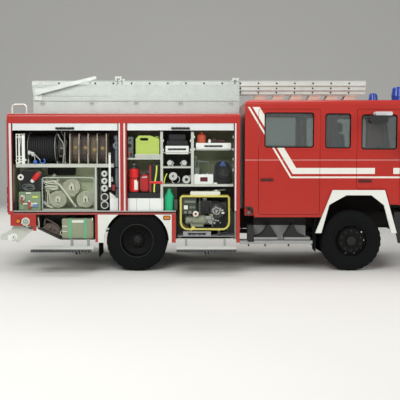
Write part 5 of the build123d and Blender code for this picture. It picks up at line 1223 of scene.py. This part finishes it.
# Front bay, right part: light case, round bag with its disc and wedge, small bottle, rolls and lamp rack
light = carton(Shape(), -2636, -2318, 1465.3, 1627, 0, 440, 14)
for x in (-2618, -2598, -2578, -2376, -2356, -2336):
    carton(light, x - 4, x + 4, 1482, 1612, -4, 10, 2, 1)
carton(light, -2550, -2398, 1496, 1594, -5, 10, 10, 2)
for x in (-2590, -2420):
    carton(light, x - 16, x + 16, 1600, 1638, -10, 30, 6, 2)
piece("light_grey_case", light, "white_box", "vehicle", ["cases"])
window = carton(Shape(), -2536, -2412, 1508, 1582, -7.5, 0, 8, 1)
piece("case_window", window, "dark_red_glass")
round_bag = Shape().soft(spot(-2318, 1465.3, 2), spot(-2005, 1853, 400), 3.4, 48, 80, 0.04, 0.006, 0.8)
piece("round_black_bag", round_bag, "black_cloth", "vehicle", ["cases"])
disc = Shape().lathe(spot(-2145, 1661, 30), OUT, (-20, 104, 30, 104, 38, 98, 38, 84, 32, 80, 32, 62, 40, 58, 42, 30,
    36, 26), 60)
piece("bag_disc", disc, "black_plastic")
marks = Shape()
for x0, z0, x1, z1 in ((-2206, 1655, -2130, 1608), (-2172, 1700, -2136, 1650), (-2120, 1626, -2082, 1612)):
    marks.sweep(spots(-13, (x0, z0), (x1, z1)), oblong(6, 4))
piece("bag_disc_marks", marks, "grey_case")
wedge = Shape().slab([(FRONT - 2.222, 1.762), (FRONT - 2.102, 1.758), (FRONT - 2.128, 1.836), (FRONT - 2.168, 1.853)],
    KIT + 0.002, KIT + 0.09, "y", 0.008)
piece("blue_wedge", wedge, "navy")
small = Shape().lathe(spot(-2381, 2151, 40), UP, (0, 22, 4, 25, 40, 25, 52, 14, 64, 13), 24)
carton(small, -2312, -2252, 1466, 1490, -4, 20, 4, 2)
piece("small_white_bottle", small, "pale_enamel")
rolls = Shape().soft(spot(-2350, 2151.2, 15), spot(-2262, 2218, 230), 2.8, 20, 30, 0, 0.02)
rolls.soft(spot(-2240, 2151.2, 30), spot(-2130, 2200, 230), 2.8, 20, 30, 0, 0.02)
piece("dark_red_rolls", rolls, "roll_red")
tool = carton(Shape(), -2632, -2548, 1627.3, 1742, 30, 330, 12)
tool.tube(spots(30, (-2612, 1740), (-2604, 1925)), 11, 12)
tool.tube(spots(40, (-2570, 1740), (-2556, 1880)), 10, 12)
tool.sweep(spots(30, (-2640, 1930), (-2590, 1906)), oblong(24, 20))
tool.sweep(spots(50, (-2600, 1846), (-2388, 1836)), oblong(26, 20))
tool.tube(spots(55, (-2400, 1836), (-2404, 1625)), 8, 10)
piece("hand_lamp_rack", tool, "grey_case")

# Lower rear locker: strapped case, hook and rescue tool
case = carton(Shape(), -4855, -4329, 550.5, 887, 0, 500, 26, 6)
for z in (836, 582):
    carton(case, -4853, -4331, z - 5, z + 5, -4, 10, 3, 1)
piece("strapped_case", case, "khaki_case", "vehicle", ["cases"])
straps = Shape()
for x, half in ((-4719, 20), (-4469, 18)):
    carton(straps, x - half, x + half, 551, 890, -7, 460, 3, 1)
piece("case_teal_straps", straps, "teal_strap")
pale = Shape()
carton(pale, -4690, -4486, 816, 860, -14, 0, 10)
for z in (757, 669):
    carton(pale, -4852, -4764, z - 7, z + 7, -8, 0, 5, 2)
carton(pale, -4354, -4334, 846, 902, -6, 20, 6)
pale.tube(bent(spots(-6, (-4852, 690), (-4880, 668), (-4880, 622), (-4852, 600)), 20), 5, 10)
pale.tube(bent(spots(-8, (-5246, 905), (-5243, 850), (-5236, 800), (-5240, 737)), 30), 7, 10)
piece("case_pale_fittings", pale, "pale_enamel")
tool = Shape().slab([(FRONT - 5.205, 0.7145), (FRONT - 4.905, 0.5665), (FRONT - 4.875, 0.640), (FRONT - 4.930, 0.735),
    (FRONT - 5.030, 0.800), (FRONT - 5.130, 0.796)], -1.13, -0.80, "y", 0.020)
tool.tube(bent(spots(80, (-5165, 770), (-5150, 880), (-5080, 850), (-4950, 770), (-4900, 690)), 30), 14, 12)
for x, z, radius in ((-5062, 748, 34), (-5005, 720, 26), (-4950, 650, 22)):
    knob(tool, x, z, radius, 50, 50)
piece("rescue_tool", tool, "brown_steel")

# Generator, its tray and what stands beside it

SET = 60
panel = Shape()
carton(panel, -2800, -2615, 1146, 1184, SET - 4, SET + 10, 4, 2)
for x, z0, z1 in ((-2707, 958, 1014), (-2782, 966, 1008)):
    carton(panel, x - 26, x + 26, z0, z1, SET - 14, SET, 8)
for x in (-2694, -2644):
    panel.lathe(spot(x, 1072, SET), OUT, (0, 24, 6, 24, 8, 19, 3, 17), 32)
    panel.sweep(spots(SET - 4.5, (x - 8, 1066), (x + 7, 1079)), oblong(4, 3))
for x, z in ((-2668, 1112), (-2680, 1118), (-2740, 1010)):
    knob(panel, x, z, 6, 12, SET)
piece("generator_panel_parts", panel, "gauge_grey", "generator")
pale = carton(Shape(), -2810, -2744, 1036, 1102, SET - 6, SET, 6, 2)
carton(pale, -2176, -2128, 960, 990, 68, 110, 4, 2)
carton(pale, -2172, -2146, 1010, 1030, 68, 110, 4, 2)
pale.lathe(spot(-2460, 1206, 180), UP, (0, 38, 4, 40, 12, 38, 14, 30), 28)
piece("generator_pale_parts", pale, "pale_enamel", "generator")
BADGE = (-2612, 961)
plate = Shape().lathe(spot(*BADGE, SET), OUT, (-2, 48, 6, 48, 8, 45, 8, 24, 2, 23), 48)
piece("generator_round_plate", plate, "pale_enamel", "generator")
centre = Shape().lathe(spot(*BADGE, SET), OUT, (0, 27, 9, 27, 11, 22), 4)
piece("generator_red_centre", centre, "dull_red", "generator", slot="engine_grey")
FAN = (-2258, 1006)
engine = Shape()
carton(engine, -2515, -2388, 992, 1136, 80, 120, 10)
for x, z in ((-2480, 1070), (-2425, 1040)):
    carton(engine, x - 18, x + 18, z - 24, z + 24, 72, 90, 6)
for z in range(1010, 1130, 14):
    engine.sweep(spots(79, (-2510, z), (-2394, z)), oblong(4, 4))
for z in range(742, 960, 15):
    carton(engine, -2312, -2100, z, z + 6, 137, 180, 2, 1)
for turn in around(24):
    at = spot(-2258 + 128 * cos(turn), 1000 + 128 * sin(turn), 118)
    engine.lathe(at, OUT, (0, 6, 4, 5, 5, 3), 8)
engine.tube(bent([spot(-2360, 1120, 120), spot(-2330, 1165, 120), spot(-2230, 1168, 120), spot(-2200, 1130, 130)],
    30), 9, 12)
engine.lathe(spot(*FAN, 81.5), OUT, (-20, 61, 2, 60), 40)
piece("engine_black_parts", engine, "black_plastic", "generator", slot="engine_grey")
silver = Shape().lathe(spot(*FAN, 81), OUT, (0, 47, 0, 65, 8, 63, 12, 56, 9, 47), 48, loop=True)
silver.lathe(spot(*FAN, 81), OUT, (0, 22, 10, 21, 16, 12), 24)
for turn in np.linspace(0.3, 0.3 + 2 * pi, 6, endpoint=False):
    hub, rim = (spot(FAN[0] + r * cos(turn), FAN[1] + r * sin(turn), 75) for r in (17, 51))
    silver.sweep([hub, rim], oblong(9, 8))
for i, turn in enumerate(around(11)):
    wide = 74 + 12 * (i % 2) - 8 * (i % 3)
    silver.lathe(spot(-2260 + wide * cos(turn), 1018 + 0.72 * wide * sin(turn), 80), OUT,
        (0, 15, 10 + 4 * (i % 3), 13, 14 + 4 * (i % 3), 6), 10)
for x, z, radius in ((-2320, 872, 24), (-2272, 846, 18), (-2228, 842, 15), (-2356, 806, 28), (-2296, 800, 20),
        (-2196, 806, 12)):
    knob(silver, x, z, radius, 30, 132)
carton(silver, -2446, -2346, 856, 918, 114, 150, 10)
carton(silver, -2400, -2372, 800, 846, 114, 150, 4)
silver.tube(bent([spot(-2345, 800, 125), spot(-2322, 838, 125), spot(-2220, 836, 130)], 20), 7, 10)
for x, z in ((-2335, 822), (-2305, 795), (-2352, 846), (-2240, 836)):
    knob(silver, x, z, 13, 22, 132)
for x in (-2784, -2726, -2666, -2460):
    for turn in (0.35, 2.1, 3.6, 5.3):
        at = (FRONT + x / 1000, -0.950 + 0.088 * cos(turn), 0.849 + 0.088 * sin(turn))
        silver.lathe(at, AHEAD, (-6, 6, 16, 6), 8)
piece("generator_silver_parts", silver, "cast_alloy", "generator", slot="engine_grey")
ribs = Shape()
for turn in np.linspace(0.1 * pi, 0.9 * pi, 16):
    y, z = -0.950 - 0.0955 * sin(turn), 0.849 + 0.0955 * cos(turn)
    ribs.sweep([(FRONT - 2.662, y, z), (FRONT - 2.464, y, z)], oblong(6, 6, 2), up=UP)
carton(ribs, -2640, -2560, 938, 972, 150, 280, 8)
piece("alternator_ribs", ribs, "alternator_grey", "generator")
frame_parts = Shape().slab([(FRONT - 2.700, 0.692), (FRONT - 2.608, 0.692), (FRONT - 2.634, 0.752),
    (FRONT - 2.674, 0.752)], -1.152, -1.128, "y", 0.004)
for x in (-2863, -2048):
    for z in (900, 1030):
        frame_parts.lathe(spot(x, z, 40), UP, (0, 17.5, 1, 19.2, 28, 19.2, 29, 17.5), 24)
piece("frame_yellow_parts", frame_parts, "frame_yellow", "generator")
strut = Shape().tube(bent([spot(-2542, 1258, 42), spot(-2542, 1200, 98), spot(-2542, 945, 104.5)], 30), 4.5, 10)
piece("tank_strut", strut, "alternator_grey", "generator")
cream = carton(Shape(), -2702, -2198, 1276, 1338.4, 39.5, 351, 18, 4)
carton(cream, -2690, -2212, 1296, 1300, 37.5, 50, 2, 1)
cream.tube([spot(-2330, 1345, 120), spot(-2105, 1362, 160)], 6.5, 10)
cream.soft(spot(-2300, 1334, 60), spot(-2232, 1368, 230), 3, 14, 24)
piece("cream_box", cream, "cream_box", "generator")
stay = Shape().sweep([spot(-2350, 602, 5), spot(-2080, 660, 20), spot(-2066, 712, 25.5)], oblong(4, 14))
piece("tray_stay_rod", stay, "gauge_grey", "generator")
lip = Shape()
for x0, x1 in ((-2741, -2596), (-2569, -2441)):
    carton(lip, x0, x1, 620, 648, -23.5, -9, 12, 2)
    for step in range(2):
        carton(lip, x0 + 8 + 66 * step, x0 + 52 + 66 * step, 613, 623, -24.5, -10, 4, 1)
piece("tray_hand_slot", lip, "black_plastic", "generator")
side_kit = carton(Shape(), -2972, -2918, 1021.3, 1206, 30, 320, 10)
for z in (1056, 1096, 1136, 1176):
    carton(side_kit, -2976, -2914, z, z + 10, 24, 60, 3, 2)
piece("dark_side_box", side_kit, "panel_grey")
rail = carton(Shape(), -1957, -1943, 557, 1010, -14, 20, 3, 2)
carton(rail, -1952, -1940, 1030, 1400, -12, 15, 3, 2)
piece("bay_pale_rails", rail, "shelf_metal")
belt = Shape().lathe(spot(-3059, 1232, 100), UP, (0, 77.5, 2, 79.5, 10, 79.5, 12, 77.5), 48)
belt.lathe(spot(-3059, 1384, 100), UP, (-40, 40, -20, 24, 0, 12, 2, 6), 32)
piece("green_canister_seam", belt, "green_canister")
orange_cap = Shape().lathe(spot(-2514, 2300, 90), UP, (0, 28, 4, 31, 30, 31, 36, 24), 28)
piece("orange_can_cap", orange_cap, "orange_can")

# Seats: cushions and backs with sewn channels
SEAM = 0.012  # a channel's width and depth
RISE, SEAT_BACK = 2, 0  # the axis that a cushion's or a back's face looks along


def cushion(name, x0, x1, z0, z1, middle_y, half, face, reach=None, power=4.0):
    """A stuffed form whose face sinks along two seams, reach to each side of its middle: a depth times
    exp(-(distance to a seam / width)^2)."""
    low, high = np.array([x0, middle_y - half, z0]), np.array([x1, middle_y + half, z1])
    shape = Shape().soft(low, high, power, 44, 80)
    points = shape.points[0]
    for seam in (middle_y - reach, middle_y + reach) if reach else ():
        near = np.exp(-((points[:, 1] - seam) / SEAM) ** 2)
        points[:, face] -= near * SEAM * (points[:, face] > (low + high)[face] / 2)
    made = piece(name, shape, "seat_cloth")


for name, side in SIDES:
    seat = side * 0.760
    cushion(f"front_seat_cushion_{name}", FRONT + 0.112, FRONT + 0.516, 1.6255, 1.735, seat, 0.215, RISE, 0.12)
    cushion(f"front_seat_back_{name}", FRONT + 0.0805, FRONT + 0.195, 1.72, 2.325, seat, 0.215, SEAT_BACK, 0.12)
    cushion(f"front_headrest_{name}", FRONT + 0.0805, FRONT + 0.165, 2.345, 2.53, seat, 0.11, SEAT_BACK, power=3.0)
BENCH = corner("cab_interior", 0, 0)  # the bench back's rear face
for i, seat in enumerate((-0.81, -0.27, 0.27, 0.81)):
    cushion(f"bench_cushion_{i + 1}", BENCH + 0.062, BENCH + 0.436, 1.3105, 1.425, seat, 0.262, RISE, 0.14)
    cushion(f"bench_back_{i + 1}", BENCH + 0.026, BENCH + 0.140, 1.43, 2.05, seat, 0.262, SEAT_BACK, 0.14)

# Stage, light and camera

def stage_floor():
    """A pale floor that sweeps up behind: a strip whose height is 0 and then a quarter circle."""
    along = np.concatenate([[-150.0, 14.0], 14 + 6 * np.sin(np.linspace(0, pi / 2, 12))[1:], [20.0]])
    up = np.concatenate([[0.0, 0.0], 6 - 6 * np.cos(np.linspace(0, pi / 2, 12))[1:], [40.0]])
    across = np.array([-150.0, 150.0])
    y, x = np.meshgrid(along, across, indexing="ij")
    z = np.repeat(up[:, None], 2, axis=1)
    points = points_at(x, y, z).reshape(-1, 3)
    rows = np.arange(len(along) - 1) * 2
    faces = np.stack([rows, rows + 1, rows + 3, rows + 2], axis=-1)
    mesh = bpy.data.meshes.new("pale_floor")
    mesh.from_pydata(points.tolist(), [], faces.tolist())
    mesh.polygons.foreach_set("use_smooth", [True] * len(faces))
    made = placed("pale_floor", mesh)

    def shade(place):
        return {"Base Color": place.mix(place.noise(1.5, 3.0) * 0.3, tone(222, 220, 214), tone(212, 210, 204))}

    mesh.materials.append(finish("pale_floor", shade, Roughness=0.8))


def turned(made, place, aim):
    """Puts a lamp or the camera at a place, looking at its aim."""
    made.location = place
    made.rotation_euler = (aim - place).to_track_quat("-Z", "Y").to_euler()


def soft_lamp(name, place, aim, size, power):
    """A square soft lamp at a place, turned to its aim."""
    lamp = bpy.data.lights.new(name, "AREA")
    lamp.shape, lamp.size, lamp.energy = "SQUARE", size, power
    turned(placed(name, lamp), Vector(place), Vector(aim))


stage_floor()
AIM = (FRONT - 2.5, 0.0, 1.4)
soft_lamp("key_lamp", (FRONT - 5.5, -11.0, 8.0), AIM, 6.0, 900)
soft_lamp("front_lamp", (FRONT + 6.5, -7.0, 5.0), AIM, 5.0, 350)
soft_lamp("back_lamp", (FRONT - 9.0, 9.0, 7.0), AIM, 6.0, 350)
soft_lamp("top_lamp", (FRONT - 2.5, 0.0, 9.0), AIM, 6.0, 350)

world = bpy.data.worlds.new("soft_sky")
world.use_nodes = True
sky = world.node_tree.nodes["Background"]
sky.inputs["Color"].default_value = (0.92, 0.95, 1.0, 1.0)
sky.inputs["Strength"].default_value = 0.42
bpy.context.scene.world = world
bpy.context.scene.view_settings.view_transform = "Standard"

# The camera stands square to the right side, 13.5 m out, a little above the eye
METRES_A_PIXEL = 0.01665
PHOTO_WIDTH = 400
STAND_OFF = 13.5
camera_place = Vector((FRONT - 2.539, -SIDE - STAND_OFF, 2.2))
camera_aim = Vector((FRONT - 2.539, -SIDE, 1.204))
camera = bpy.data.cameras.new("photo_camera")
camera.sensor_width = 36.0
camera.lens = 36.0 * (camera_aim - camera_place).length / (PHOTO_WIDTH * METRES_A_PIXEL)
camera.clip_end = 200.0
viewer = placed("photo_camera", camera)
turned(viewer, camera_place, camera_aim)
bpy.context.scene.camera = viewer
